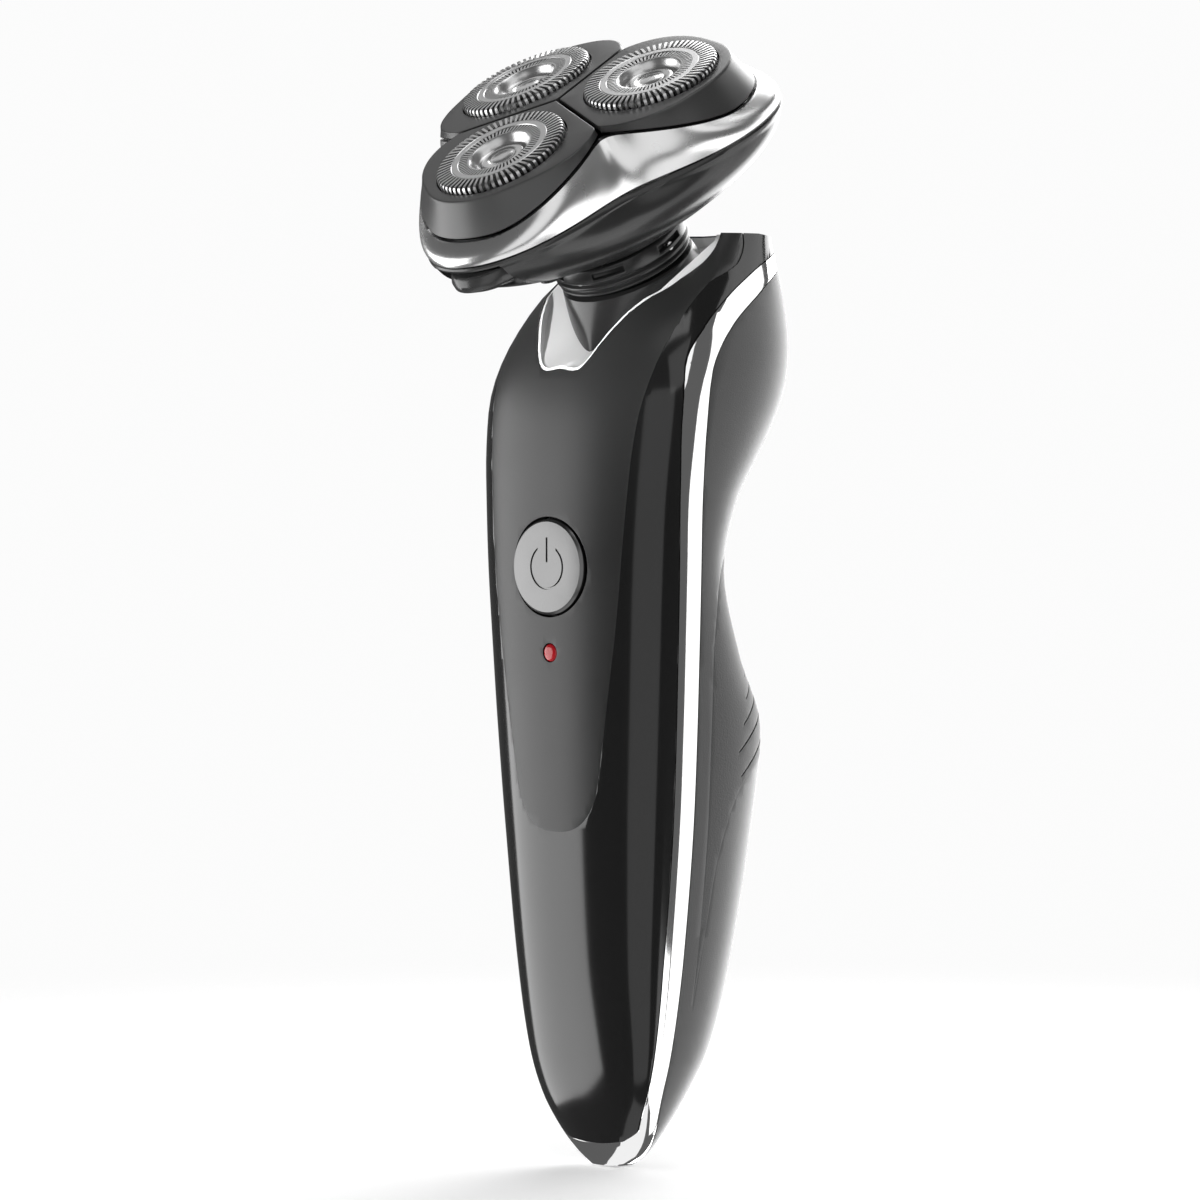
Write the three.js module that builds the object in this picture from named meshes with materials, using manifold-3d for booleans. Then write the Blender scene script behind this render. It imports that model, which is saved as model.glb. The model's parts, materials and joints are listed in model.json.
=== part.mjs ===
// Rotary electric shaver with three floating cutters.
// Millimetres, +Z up. The origin is the mouth of the charging socket at the bottom tip,
// the button side faces -Y and the shaver is symmetric about X = 0.

import * as THREE from 'three';
import { mergeVertices } from 'three/addons/utils/BufferGeometryUtils.js';
import Module from 'manifold-3d';

const wasm = await Module();
wasm.setup();

// ---------------------------------------------------------------- driving dimensions

const GAP = 0.3;                 // joint line between neighbouring pieces
const WALL = 1.5;                // thickness of the handle shells

// Handle sections from the bottom up: height, half width, front, widest point, rear.
const SECTIONS = [
  [0.0, 3.2, -2.4, 0.2, 2.8],
  [1.5, 5.4, -3.2, 0.0, 3.9],
  [4.7, 8.2, -4.6, -0.8, 5.4],
  [10.0, 10.7, -6.7, -2.2, 9.6],
  [17.0, 12.7, -8.4, -2.6, 14.1],
  [30.0, 14.5, -10.4, -2.3, 18.2],
  [50.0, 16.4, -12.0, -2.2, 22.0],
  [65.0, 17.5, -12.8, -2.6, 23.4],
  [75.0, 18.1, -13.2, -2.9, 17.3],
  [88.0, 18.8, -13.6, -3.3, 11.7],
  [98.0, 19.2, -13.5, -3.5, 15.2],
  [106.0, 19.7, -13.1, -3.0, 21.8],
  [114.0, 19.8, -12.0, -1.5, 27.2],
  [121.0, 18.9, -9.7, 3.0, 28.5],
  [128.5, 16.3, -4.8, 9.0, 28.0],
  [134.0, 13.8, 3.5, 13.0, 27.4],
  [138.0, 12.4, 9.0, 16.0, 26.5],
];
const HANDLE_TOP = 138;
const FRONT_POWER = 2.3;         // superellipse powers of the section's two halves
const REAR_POWER = 2.7;

// Top edge of the handle in side view (y, z), rear brow included.
const BROW = [[-30, 137.4], [18.5, 137.4], [25, 136.8], [29, 135.9], [34, 134.6], [34, 150], [-30, 150]];

// Centre line of the chrome trim in side view (y, z), and half its width along the way.
const TRIM_LINE = [
  [0.2, -6], [0.0, 1], [-1.2, 5], [-2.5, 12], [-2.3, 30], [-2.2, 50], [-2.9, 75], [-3.5, 98],
  [-3.4, 109], [-1.9, 117], [1.5, 121.6], [6.5, 125.6], [12.5, 129], [19, 132], [27, 134.4], [36, 136.4],
];
const TRIM_HALF_WIDTHS = [1.6, 1.6, 1.5, 1.5, 2.0, 2.1, 2.2, 2.3, 2.4, 2.3, 1.8, 1.6, 1.5, 1.3, 1.1, 1.1];

// The trim also wraps the very toe of the handle under the glossy shell (y, z).
const TRIM_TOE = [[-8, -1], [0.5, -1], [0.5, 1.5], [-1.2, 5.5], [-2.4, 9], [-2.7, 6], [-3.4, 4], [-4.6, 2.9], [-8, 2.3]];

// Right half of the front panel's tongue in front view (x, z), from its tip upwards.
const TONGUE = [
  [4.2, 50.2], [7.3, 53.5], [8.5, 60], [10.2, 71], [11.9, 83], [13.3, 98], [14.2, 108],
  [15.2, 116], [15.5, 122], [15.3, 126], [14.6, 130.5], [13.3, 134],
];

// Head frame: centre of the shaving face and the angle it leans forward.
const HEAD = { y: -11.6, z: 156.5, lean: 32 };
const CUTTER_RING = 14.43;       // distance of each cutter from the head's axis
const CUTTER_LEAN = 4;           // outward lean of each petal
const LOBES = [1, 2, 3];

// Opening for the deck (right half, head frame x, y).
const DECK_OPENING = [
  [0, -20.3], [4.1, -20.1], [7.2, -15.2], [9.7, -9.9], [11.7, -5], [12.4, 1.5], [11.9, 7],
  [9.8, 12.4], [5.4, 15.8], [0, 16.8],
];
const RIM_WIDTH = 2.4;           // black rim left between the deck opening and the glossy shell
const DECK_HEIGHT = -34.8;       // middle of the saddle, head frame
const DECK_RISE = 5.1;           // how much the saddle climbs 10 mm off its middle
const DECK_THICK = 1.2;

const BUTTON = { z: 88.5, radius: 7.0, front: -13.9, depth: 2.0 };
const GIMBAL = -25;              // height of the head's pivot, head frame
const PART_LINE = -10;           // height of the joint between head base and head top

const BATTERY = { radius: 7.0, length: 48, y: 5.2, z: 23 };
const BOARD = { width: 19, thick: 1.2, bottom: 44, top: 100 };

const GEAR_MODULE = 2 * CUTTER_RING / 48;
const SUN_TEETH = 21;            // divisible by three, so all planets mesh alike
const PLANET_TEETH = 27;
const GEAR_FACE = 1.8;
const GEAR_FLOOR = -15.8;

// ---------------------------------------------------------------- geometry helpers

const radians = THREE.MathUtils.degToRad;
const headMatrix = new THREE.Matrix4()
  .makeRotationX(radians(HEAD.lean))
  .setPosition(0, HEAD.y, HEAD.z);

function solid(geometry) {
  const plain = geometry.clone();
  plain.deleteAttribute('normal');
  plain.deleteAttribute('uv');
  const merged = mergeVertices(plain, 1e-4);
  return new wasm.Manifold(new wasm.Mesh({
    numProp: 3,
    vertProperties: new Float32Array(merged.attributes.position.array),
    triVerts: new Uint32Array(merged.index.array),
  }));
}

function geometryOf(body) {
  const mesh = body.getMesh();
  const geometry = new THREE.BufferGeometry();
  geometry.setAttribute('position', new THREE.BufferAttribute(new Float32Array(mesh.vertProperties), 3));
  geometry.setIndex(new THREE.BufferAttribute(new Uint32Array(mesh.triVerts), 1));
  geometry.computeVertexNormals();
  return geometry;
}

// A closed solid of stacked rings: place(t, cos, sin, onRim) gives the point at height t (0..1).
function stack(segments, levels, place) {
  const geometry = new THREE.CylinderGeometry(1, 1, 1, segments, levels);
  geometry.rotateX(Math.PI / 2);
  const position = geometry.attributes.position;
  for (let i = 0; i < position.count; i++) {
    const x = position.getX(i);
    const y = position.getY(i);
    const reach = Math.hypot(x, y);
    const onRim = reach > 0.5;
    const point = place(position.getZ(i) + 0.5, onRim ? x / reach : 0, onRim ? y / reach : 0, onRim);
    position.setXYZ(i, point[0], point[1], point[2]);
  }
  return geometry;
}

// Round body with the given [radius, height] profile about Z.
function turned(profile, segments = 32) {
  const geometry = new THREE.LatheGeometry(profile.map(([r, h]) => new THREE.Vector2(r, h)), segments);
  geometry.rotateX(Math.PI / 2);
  return geometry;
}

function disc(radius, bottom, top, segments = 32) {
  return turned([[0, bottom], [radius, bottom], [radius, top], [0, top]], segments);
}

function ring(inner, outer, bottom, top, segments = 32) {
  const profile = [[inner, bottom], [outer, bottom], [outer, top], [inner, top], [inner, bottom]];
  return turned(profile, segments);
}

function block(sizeX, sizeY, sizeZ, x, y, z) {
  const geometry = new THREE.BoxGeometry(sizeX, sizeY, sizeZ);
  geometry.translate(x, y, z);
  return geometry;
}

function shapeOf(points) {
  return new THREE.Shape(points.map(([x, y]) => new THREE.Vector2(x, y)));
}

// Prism of a side-view outline (y, z), running across the whole width.
function sidePrism(points, halfWidth = 40) {
  const geometry = new THREE.ExtrudeGeometry(shapeOf(points), { depth: 2 * halfWidth, bevelEnabled: false });
  const basis = new THREE.Matrix4().makeBasis(
    new THREE.Vector3(0, 1, 0), new THREE.Vector3(0, 0, 1), new THREE.Vector3(1, 0, 0));
  geometry.applyMatrix4(basis.setPosition(-halfWidth, 0, 0));
  return geometry;
}

// Prism of a front-view outline (x, z), from y = from back to y = to (to is nearer the front).
function frontPrism(points, from, to) {
  const geometry = new THREE.ExtrudeGeometry(shapeOf(points), { depth: from - to, bevelEnabled: false });
  const basis = new THREE.Matrix4().makeBasis(
    new THREE.Vector3(1, 0, 0), new THREE.Vector3(0, 0, 1), new THREE.Vector3(0, -1, 0));
  geometry.applyMatrix4(basis.setPosition(0, from, 0));
  return geometry;
}

// Prism of an outline in the XY plane.
function plate(shape, bottom, top, curveSegments = 8) {
  const depth = top - bottom;
  const geometry = new THREE.ExtrudeGeometry(shape, { depth, bevelEnabled: false, curveSegments });
  geometry.translate(0, 0, bottom);
  return geometry;
}

function smoothLine(points, samples) {
  const curve = new THREE.SplineCurve(points.map(([x, y]) => new THREE.Vector2(x, y)));
  return curve.getPoints(samples).map((p) => [p.x, p.y]);
}

function mirrored(half) {
  return half.concat(half.slice().reverse().map(([x, y]) => [-x, y]));
}

const group = new THREE.Group();
const head = new THREE.Group();
head.position.set(0, HEAD.y, HEAD.z);
head.rotation.x = radians(HEAD.lean);
group.add(head);

const LOOKS = {
  satinBlack: { color: 0x26272a, roughness: 0.45, metalness: 0.0 },
  glossBlack: { color: 0x101113, roughness: 0.08, metalness: 0.0 },
  softBlack: { color: 0x2b2c2f, roughness: 0.65, metalness: 0.0 },
  rubber: { color: 0x1f2022, roughness: 0.85, metalness: 0.0 },
  chrome: { color: 0xe8eaec, roughness: 0.06, metalness: 1.0 },
  steel: { color: 0xb9bcc0, roughness: 0.28, metalness: 1.0 },
  silver: { color: 0xa9abae, roughness: 0.35, metalness: 0.9 },
  brass: { color: 0xc9a45a, roughness: 0.35, metalness: 1.0 },
  board: { color: 0x1e5a38, roughness: 0.6, metalness: 0.0 },
  white: { color: 0xe9e7e0, roughness: 0.5, metalness: 0.0 },
  cell: { color: 0x2f6fae, roughness: 0.5, metalness: 0.1 },
  red: { color: 0xb5141c, roughness: 0.3, metalness: 0.0 },
};

function add(name, geometry, look, parent = group) {
  const shape = geometry.getMesh ? geometryOf(geometry) : geometry;
  const mesh = new THREE.Mesh(shape, new THREE.MeshStandardMaterial(LOOKS[look]));
  mesh.name = name;
  parent.add(mesh);
  return mesh;
}

// ---------------------------------------------------------------- handle body

const sectionAt = new THREE.CubicInterpolant(
  new Float32Array(SECTIONS.map((row) => row[0])),
  new Float32Array(SECTIONS.flatMap((row) => row.slice(1))),
  4);

function power(value, exponent) {
  return Math.sign(value) * Math.abs(value) ** (2 / exponent);
}

// The handle's outside, or the same body pulled in by inset.
function handleBody(inset, segments, levels) {
  const bottom = inset * 1.2;
  const top = HANDLE_TOP - inset;
  return solid(stack(segments, levels, (t, cos, sin, onRim) => {
    const z = bottom + (top - bottom) * t ** 1.5;
    const [halfWidth, front, middle, rear] = sectionAt.evaluate(z);
    if (!onRim) {
      return [0, middle, z];
    }
    const exponent = sin < 0 ? FRONT_POWER : REAR_POWER;
    const reach = sin < 0 ? middle - front : rear - middle;
    return [(halfWidth - inset) * power(cos, exponent), middle + (reach - inset) * power(sin, exponent), z];
  }));
}

const lowered = (outline, drop) => outline.map(([y, z]) => [y, z - drop]);
const outside = handleBody(0, 36, 22).subtract(solid(sidePrism(BROW)));
const hollow = handleBody(WALL, 20, 12).subtract(solid(sidePrism(lowered(BROW, WALL))));

function openingPrism(offset, bottom, top) {
  const right = smoothLine(DECK_OPENING, 18).map(([x, y]) => {
    const grow = offset / Math.hypot(x / 12, (y + 1.5) / 18);
    return [x + grow * x / 12, y + grow * (y + 1.5) / 18];
  });
  const outline = mirrored(right.slice(1, -1));
  outline.unshift([0, right[0][1]]);
  outline.splice(right.length - 1, 0, [0, right[right.length - 1][1]]);
  const geometry = plate(shapeOf(outline), bottom, top);
  return solid(geometry.applyMatrix4(headMatrix));
}

const socketMouth = solid(block(3.6, 2.2, 5, 0, 0.2, 2.3));
const shell = outside
  .subtract(hollow)
  .subtract(openingPrism(0, -38, -12))
  .subtract(socketMouth);

// ---------------------------------------------------------------- chrome trim hoop

function trimPrism(extra) {
  const curve = new THREE.SplineCurve(TRIM_LINE.map(([y, z]) => new THREE.Vector2(y, z)));
  const steps = 50;
  const left = [];
  const right = [];
  for (let i = 0; i <= steps; i++) {
    const t = i / steps;
    const point = curve.getPoint(t);
    const tangent = curve.getTangent(t);
    const place = t * (TRIM_HALF_WIDTHS.length - 1);
    const low = Math.min(Math.floor(place), TRIM_HALF_WIDTHS.length - 2);
    const half = THREE.MathUtils.lerp(TRIM_HALF_WIDTHS[low], TRIM_HALF_WIDTHS[low + 1], place - low) + extra;
    left.push([point.x - tangent.y * half, point.y + tangent.x * half]);
    right.push([point.x + tangent.y * half, point.y - tangent.x * half]);
  }
  const toe = new wasm.CrossSection([TRIM_TOE], 'EvenOdd').offset(extra, 'Miter').toPolygons()[0];
  return solid(sidePrism(right.concat(left.reverse()))).add(solid(sidePrism(toe)));
}

function frontOfTrim() {
  const line = smoothLine(TRIM_LINE, 60);
  return solid(sidePrism([[-60, -10], ...line, [36, 160], [-60, 160]]));
}

add('chrome_trim', shell.intersect(trimPrism(0)), 'chrome');
const besideTrim = shell.subtract(trimPrism(GAP));
const frontHalf = besideTrim.intersect(frontOfTrim());
const rearHalf = besideTrim.subtract(frontOfTrim());

// ---------------------------------------------------------------- front panel and glossy shell

function tonguePrism(offset) {
  const side = smoothLine(TONGUE, 30).map(([x, z]) => [x + offset, z]);
  const tip = [0, TONGUE[0][1] - 0.9 - offset];
  side[0][1] -= offset;
  const right = [...side, [side[side.length - 1][0], 150]];
  const outline = [tip, ...right, ...right.slice().reverse().map(([x, z]) => [-x, z])];
  return solid(frontPrism(outline, 12, -40));
}

function panelRegion(offset) {
  return tonguePrism(offset).add(openingPrism(RIM_WIDTH + offset, -40, -10));
}

function buttonDisc(radius, from, to) {
  const geometry = disc(radius, 0, from - to, 48);
  geometry.rotateX(Math.PI / 2);
  geometry.translate(0, from, BUTTON.z);
  return geometry;
}

const LIGHT = { z: 76, radius: 1.3 };
function lightDisc(radius, from, to) {
  const geometry = disc(radius, 0, from - to, 20);
  geometry.rotateX(Math.PI / 2);
  geometry.translate(0, from, LIGHT.z);
  return geometry;
}

const panel = frontHalf
  .intersect(panelRegion(0))
  .subtract(solid(buttonDisc(BUTTON.radius + 0.5, -8, -20)))
  .subtract(solid(lightDisc(LIGHT.radius + GAP, -8, -20)));
add('front_panel', panel, 'satinBlack');
add('front_shell', frontHalf.subtract(panelRegion(GAP)), 'glossBlack');

// ---------------------------------------------------------------- rear shell and grip insert

const GRIP_OUTLINE = [
  [3.0, 32], [3.1, 38], [3.2, 50], [2.8, 65], [3.0, 80], [6.5, 90], [20, 94], [40, 94],
  [40, 62.5], [24, 61.5], [16, 59], [10.2, 55], [6.2, 46.5], [4.3, 36],
];
function gripPrism(offset) {
  const outline = new wasm.CrossSection([GRIP_OUTLINE], 'EvenOdd').offset(offset, 'Miter').toPolygons()[0];
  return solid(sidePrism(outline));
}
add('grip_insert', rearHalf.intersect(gripPrism(0)), 'rubber');
add('rear_shell', rearHalf.subtract(gripPrism(GAP)), 'softBlack');

// ---------------------------------------------------------------- deck and neck

function saddle(x) {
  return DECK_HEIGHT + DECK_RISE * (Math.min(Math.abs(x), 11) / 10) ** 1.6;
}

// Slab of the given thickness range about the saddle surface, head frame.
function saddleSlab(below, above) {
  const geometry = new THREE.BoxGeometry(44, 70, 1, 22, 1, 1);
  const position = geometry.attributes.position;
  for (let i = 0; i < position.count; i++) {
    const lift = position.getZ(i) > 0 ? above : -below;
    position.setZ(i, saddle(position.getX(i)) + lift);
  }
  return geometry;
}

const deck = handleBody(WALL + GAP, 20, 12)
  .subtract(solid(sidePrism(lowered(BROW, WALL + GAP))))
  .intersect(solid(saddleSlab(DECK_THICK, 0).applyMatrix4(headMatrix)))
  .subtract(solid(disc(8.0, -60, 0).applyMatrix4(headMatrix)));
add('top_deck', deck, 'chrome');

// Neck: a stem through the deck whose round top spreads into a four-pointed foot on the saddle.
const neckFoot = solid(stack(32, 5, (t, cos, sin, onRim) => {
  const z = -28.3 - 9 * (1 - t);
  const exponent = THREE.MathUtils.lerp(0.9, 2, t ** 0.6);
  const side = THREE.MathUtils.lerp(11.8, 10.2, t ** 0.5);
  const prow = THREE.MathUtils.lerp(14.8, 10.2, t ** 1.1);
  const reach = (Math.abs(cos / side) ** exponent + Math.abs(sin / prow) ** exponent) ** (-1 / exponent);
  return onRim ? [reach * cos, reach * sin, z] : [0, 0, z];
}));
const neck = neckFoot
  .subtract(solid(saddleSlab(20, GAP)))
  .add(solid(disc(6.4, -38.2, -30)))
  .add(solid(disc(5.6, -31, GIMBAL + 1.9)))
  .subtract(solid(disc(3.1, -60, 0)))
  .subtract(solid(block(14, 2.6, 5.2, 0, 0, GIMBAL + 0.5)));
add('neck', neck, 'satinBlack', head);

// ---------------------------------------------------------------- button, light and electronics

const buttonCap = solid(buttonDisc(BUTTON.radius, BUTTON.front + BUTTON.depth, BUTTON.front))
  .add(solid(buttonDisc(2.0, BUTTON.front + BUTTON.depth + 0.5, BUTTON.front + 1)));
add('power_button', buttonCap, 'silver');

const sealGeometry = ring(BUTTON.radius - 1.2, BUTTON.radius + 1.6, 0, 0.8, 40);
sealGeometry.rotateX(Math.PI / 2);
sealGeometry.translate(0, -9.3, BUTTON.z);
add('button_seal', sealGeometry, 'rubber');

add('status_light', lightDisc(LIGHT.radius, -9.6, -13.3), 'red');

const boardMiddle = (BOARD.bottom + BOARD.top) / 2;
add('circuit_board', block(BOARD.width, BOARD.thick, BOARD.top - BOARD.bottom, 0, -7.6, boardMiddle), 'board');
add('tact_switch', solid(block(6, 1.4, 6, 0, -9.2, BUTTON.z))
  .subtract(solid(block(8, 1, 1.0, 0, -9.9, BUTTON.z + 3))), 'white');

const cellZ = BATTERY.z;
const cell = turned([
  [0, 0], [BATTERY.radius, 0], [BATTERY.radius, BATTERY.length - 1.6], [BATTERY.radius - 1, BATTERY.length - 0.8],
  [2.8, BATTERY.length - 0.8], [2.8, BATTERY.length], [0, BATTERY.length]], 32);
cell.translate(0, BATTERY.y, cellZ);
add('battery_cell', cell, 'cell');

// Chassis: a spine plate with two half-ring cradles for the cell.
function cradle(z) {
  const outer = solid(ring(BATTERY.radius + GAP, BATTERY.radius + 1.8, z, z + 5, 28));
  const cut = outer.subtract(solid(block(30, 20, 12, 0, 12.5, z + 2)));
  return cut.translate(0, BATTERY.y, 0);
}
const chassis = solid(block(18, 2.3, 74, 0, -4.3, 61))
  .add(cradle(30))
  .add(cradle(58))
  .subtract(solid(block(9, 10, 8, 0, -4, BUTTON.z)));
add('chassis', chassis, 'white');

const TAB = { width: 6, length: 7, thick: 0.5 };
const lowerTabZ = cellZ - GAP - TAB.thick / 2;
const upperTabZ = cellZ + BATTERY.length + GAP + TAB.thick / 2;
add('battery_tab_lower', block(TAB.width, TAB.length, TAB.thick, 0, BATTERY.y, lowerTabZ), 'brass');
add('battery_tab_upper', block(TAB.width, TAB.length, TAB.thick, 0, BATTERY.y, upperTabZ), 'brass');

const socketBody = solid(block(5.6, 3.6, 6.5, 0, 0.2, 6.1)).subtract(socketMouth);
add('charging_socket', socketBody, 'satinBlack');

// ---------------------------------------------------------------- motor and drive shaft

const MOTOR = { radius: 7.7, top: -40.4, bottom: -54.4 };
const motor = turned([
  [0, MOTOR.bottom - 0.8], [2.5, MOTOR.bottom - 0.8], [2.5, MOTOR.bottom], [MOTOR.radius - 0.6, MOTOR.bottom],
  [MOTOR.radius, MOTOR.bottom + 0.6], [MOTOR.radius, MOTOR.top - 0.4], [MOTOR.radius - 0.4, MOTOR.top],
  [0, MOTOR.top]], 36);
add('motor', motor, 'steel', head);

const bracket = solid(disc(9.6, -40.1, -38.6, 28)).subtract(solid(disc(4.2, -50, -30, 24)));
add('motor_bracket', bracket, 'satinBlack', head);

add('motor_shaft', disc(0.9, -40.1, -36.4, 16), 'steel', head);
add('shaft_coupling', ring(1.6, 2.7, -38.4, -34.0, 20), 'white', head);
const driveProfile = [[0, -36.1], [1.3, -36.1], [1.3, -20.4], [0.9, -19.4], [0, -19.4]];
add('drive_shaft', turned(driveProfile, 16), 'steel', head);

// ---------------------------------------------------------------- gimbal collar

const COLLAR = { bottom: -27.3, top: -23.1, inner: 8.6, outer: 10.5 };
const collarProfile = [
  [COLLAR.inner, COLLAR.bottom], [COLLAR.outer - 0.6, COLLAR.bottom], [COLLAR.outer, COLLAR.bottom + 0.5],
  [COLLAR.outer, COLLAR.top - 0.5], [COLLAR.outer - 0.5, COLLAR.top], [COLLAR.inner, COLLAR.top],
  [COLLAR.inner, COLLAR.bottom]];
let collar = solid(turned(collarProfile, 24));
const WINDOWS = 6;
for (let i = 0; i < WINDOWS; i++) {
  const window = block(5.2, 6, 1.5, 0, -11, (COLLAR.bottom + COLLAR.top) / 2);
  window.rotateZ((i + 0.5) * 2 * Math.PI / WINDOWS);
  collar = collar.subtract(solid(window));
}
for (const turn of [0, Math.PI / 2]) {
  const bore = disc(0.9, -12, 12, 12);
  bore.rotateX(Math.PI / 2);
  bore.rotateZ(turn);
  bore.translate(0, 0, GIMBAL);
  collar = collar.subtract(solid(bore));
}
add('neck_collar', collar, 'satinBlack', head);

for (const side of [-1, 1]) {
  const pin = disc(0.6, 5.9, 10.2, 12);
  pin.rotateY(side * Math.PI / 2);
  pin.translate(0, 0, GIMBAL);
  add(side < 0 ? 'pitch_pin_left' : 'pitch_pin_right', pin, 'steel', head);
}
for (const side of [-1, 1]) {
  const pin = disc(0.6, 7.8, 10.2, 12);
  pin.rotateX(-side * Math.PI / 2);
  pin.translate(0, 0, GIMBAL);
  add(side < 0 ? 'roll_pin_front' : 'roll_pin_rear', pin, 'steel', head);
}

// ---------------------------------------------------------------- head base

// The head top swings up about a hinge behind the two rear lobes.
const HINGE = { y: 23.6, z: PART_LINE, barrel: 1.5, pin: 0.7 };
function knuckle(from, to, radius) {
  const geometry = disc(radius, from, to, 16);
  geometry.rotateY(Math.PI / 2);
  geometry.translate(0, HINGE.y, HINGE.z);
  return solid(geometry);
}

// Angle from the nearest lobe's middle, 0 at a lobe and 60 degrees between two lobes.
function fromLobe(cos, sin) {
  const angle = Math.atan2(cos, -sin);
  const third = 2 * Math.PI / 3;
  return Math.abs(angle - third * Math.round(angle / third));
}

// 1 at a lobe's middle, flowing down to 0 in the valley between two lobes.
function swellOf(angle) {
  return (1 + Math.cos(3 * angle)) / 2;
}

// Rounded triangle around the head.
const FLANGE = { valleyReach: 19.9, lobeReach: 11.1 };
function flangeReach(angle) {
  return FLANGE.valleyReach + FLANGE.lobeReach * swellOf(angle);
}

// Bowl profile: height, share of the flange outline, reach of the round foot.
const BOWL = [
  [-22.4, 0.0, 11.2],
  [-21.6, 0.05, 12.4],
  [-19.2, 0.25, 16.5],
  [-15.6, 0.61, 21.5],
  [-12.6, 0.86, 26.0],
  [-10.3, 1.0, 30.0],
];
function bowl(inset, bottom, top, segments, levels) {
  const rows = new THREE.LinearInterpolant(
    new Float32Array(BOWL.map((row) => row[0])), new Float32Array(BOWL.flatMap((row) => row.slice(1))), 2);
  return solid(stack(segments, levels, (t, cos, sin, onRim) => {
    const z = bottom + (top - bottom) * t;
    const row = THREE.MathUtils.clamp(z - inset * 0.6, BOWL[0][0], BOWL[BOWL.length - 1][0]);
    const [share, foot] = rows.evaluate(row);
    const outline = flangeReach(fromLobe(cos, sin)) - 0.3;
    const reach = (outline * share + foot * (1 - share)) - inset;
    return onRim ? [reach * cos, reach * sin, z] : [0, 0, z];
  }));
}

let base = bowl(0, -22.4, PART_LINE - GAP, 42, 5)
  .subtract(bowl(1.5, -20.9, PART_LINE + 1, 36, 4))
  .subtract(solid(disc(3.4, -30, -10)));
for (const side of [-1, 1]) {
  const eye = solid(block(1.8, 4, 1.8, 0, side * 7.2, GIMBAL));
  base = base.add(solid(block(4.4, 1.2, 6.0, 0, side * 7.2, -24.0)).subtract(eye));
}
for (let i = 0; i < 3; i++) {
  const post = solid(disc(2.0, -21.4, GEAR_FLOOR - 0.5, 12)).translate(0, -CUTTER_RING, 0);
  const pivotHole = solid(disc(1.1, -20, -10, 12)).translate(0, -CUTTER_RING, 0);
  base = base.add(post.rotate([0, 0, 120 * i])).subtract(pivotHole.rotate([0, 0, 120 * i]));
}
const latchWell = solid(block(12.8, 9, 5.0, 0, -30, -13.4));
base = base
  .subtract(latchWell)
  .add(solid(block(2.2, 5.6, 1.6, 0, HINGE.y - 2.6, HINGE.z - 1.4)))
  .add(knuckle(-1.1, 1.1, HINGE.barrel))
  .subtract(knuckle(-5, 5, HINGE.pin + 0.1));
add('head_base', base, 'satinBlack', head);

add('head_hinge_pin', knuckle(-3.6, 3.6, HINGE.pin), 'steel', head);

// Cover over the gears, with a hole for each spindle.
let cover = solid(stack(36, 1, (t, cos, sin, onRim) => {
  const reach = flangeReach(fromLobe(cos, sin)) * 0.76 - 0.2;
  return onRim ? [reach * cos, reach * sin, -13.6 + 1.1 * t] : [0, 0, -13.6 + 1.1 * t];
}));
for (let i = 0; i < 3; i++) {
  cover = cover.subtract(solid(disc(2.6, -20, -10, 20)).translate(0, -CUTTER_RING, 0).rotate([0, 0, 120 * i]));
}
add('gear_cover', cover, 'white', head);

const latch = solid(block(12, 2.4, 3.4, 0, -29.2, -13.4)).add(solid(block(7, 4.0, 1.6, 0, -26.6, -13.2)));
add('release_latch', latch, 'satinBlack', head);

// ---------------------------------------------------------------- gears and spindles

function gearShape(teeth) {
  const pitch = GEAR_MODULE * teeth / 2;
  const root = pitch - 1.15 * GEAR_MODULE;
  const tip = pitch + 0.7 * GEAR_MODULE;
  const step = 2 * Math.PI / teeth;
  const points = [];
  for (let i = 0; i < teeth; i++) {
    for (const [radius, share] of [[root, -0.3], [tip, -0.11], [tip, 0.11], [root, 0.3]]) {
      const angle = (i + share) * step;
      points.push([radius * Math.cos(angle), radius * Math.sin(angle)]);
    }
  }
  return shapeOf(points);
}

const sunTeeth = plate(gearShape(SUN_TEETH), GEAR_FLOOR, GEAR_FLOOR + GEAR_FACE);
sunTeeth.rotateZ(-Math.PI / 2);
const sun = solid(sunTeeth)
  .add(solid(disc(3.1, -20.6, GEAR_FLOOR + 0.2, 16)))
  .subtract(solid(disc(2.4, -22, -18.9, 16)));
add('drive_gear', sun, 'white', head);

const lobes = LOBES.map((_, i) => {
  const lobe = new THREE.Group();
  lobe.rotation.z = i * 2 * Math.PI / 3;
  head.add(lobe);
  return lobe;
});

LOBES.forEach((number, i) => {
  const gear = plate(gearShape(PLANET_TEETH), GEAR_FLOOR, GEAR_FLOOR + GEAR_FACE);
  gear.rotateZ(Math.PI / 2 + Math.PI / PLANET_TEETH);
  const spindle = solid(gear)
    .add(solid(disc(0.75, -19.6, GEAR_FLOOR + 0.2, 16)))
    .add(solid(disc(2.0, GEAR_FLOOR + GEAR_FACE - 0.2, -8.4, 20)))
    .add(solid(block(2.0, 2.0, 3.6, 0, 0, -7.0)))
    .translate(0, -CUTTER_RING, 0);
  add(`spindle_gear_${number}`, spindle, 'white', lobes[i]);
});

// ---------------------------------------------------------------- head top: skirt and blade frame

const PETAL = {
  top: -1.0, bottom: -6.6, faceReach: 12.0, valleyReach: 15.0, draft: 2.2, foot: 2.0, valleyGap: 0.45,
};
const valleyDistance = CUTTER_RING * Math.sin(Math.PI / 3) - PETAL.valleyGap;

function petalReach(cos, sin, spread) {
  const away = Math.abs(Math.atan2(cos, -sin));
  const side = THREE.MathUtils.smoothstep(away, radians(40), radians(105));
  const outer = THREE.MathUtils.lerp(PETAL.faceReach + spread, PETAL.valleyReach + 0.1 * spread, side);
  const facing = Math.cos(away - radians(150));
  return facing > 0.01 ? Math.min(outer, valleyDistance / facing) : outer;
}

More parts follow.
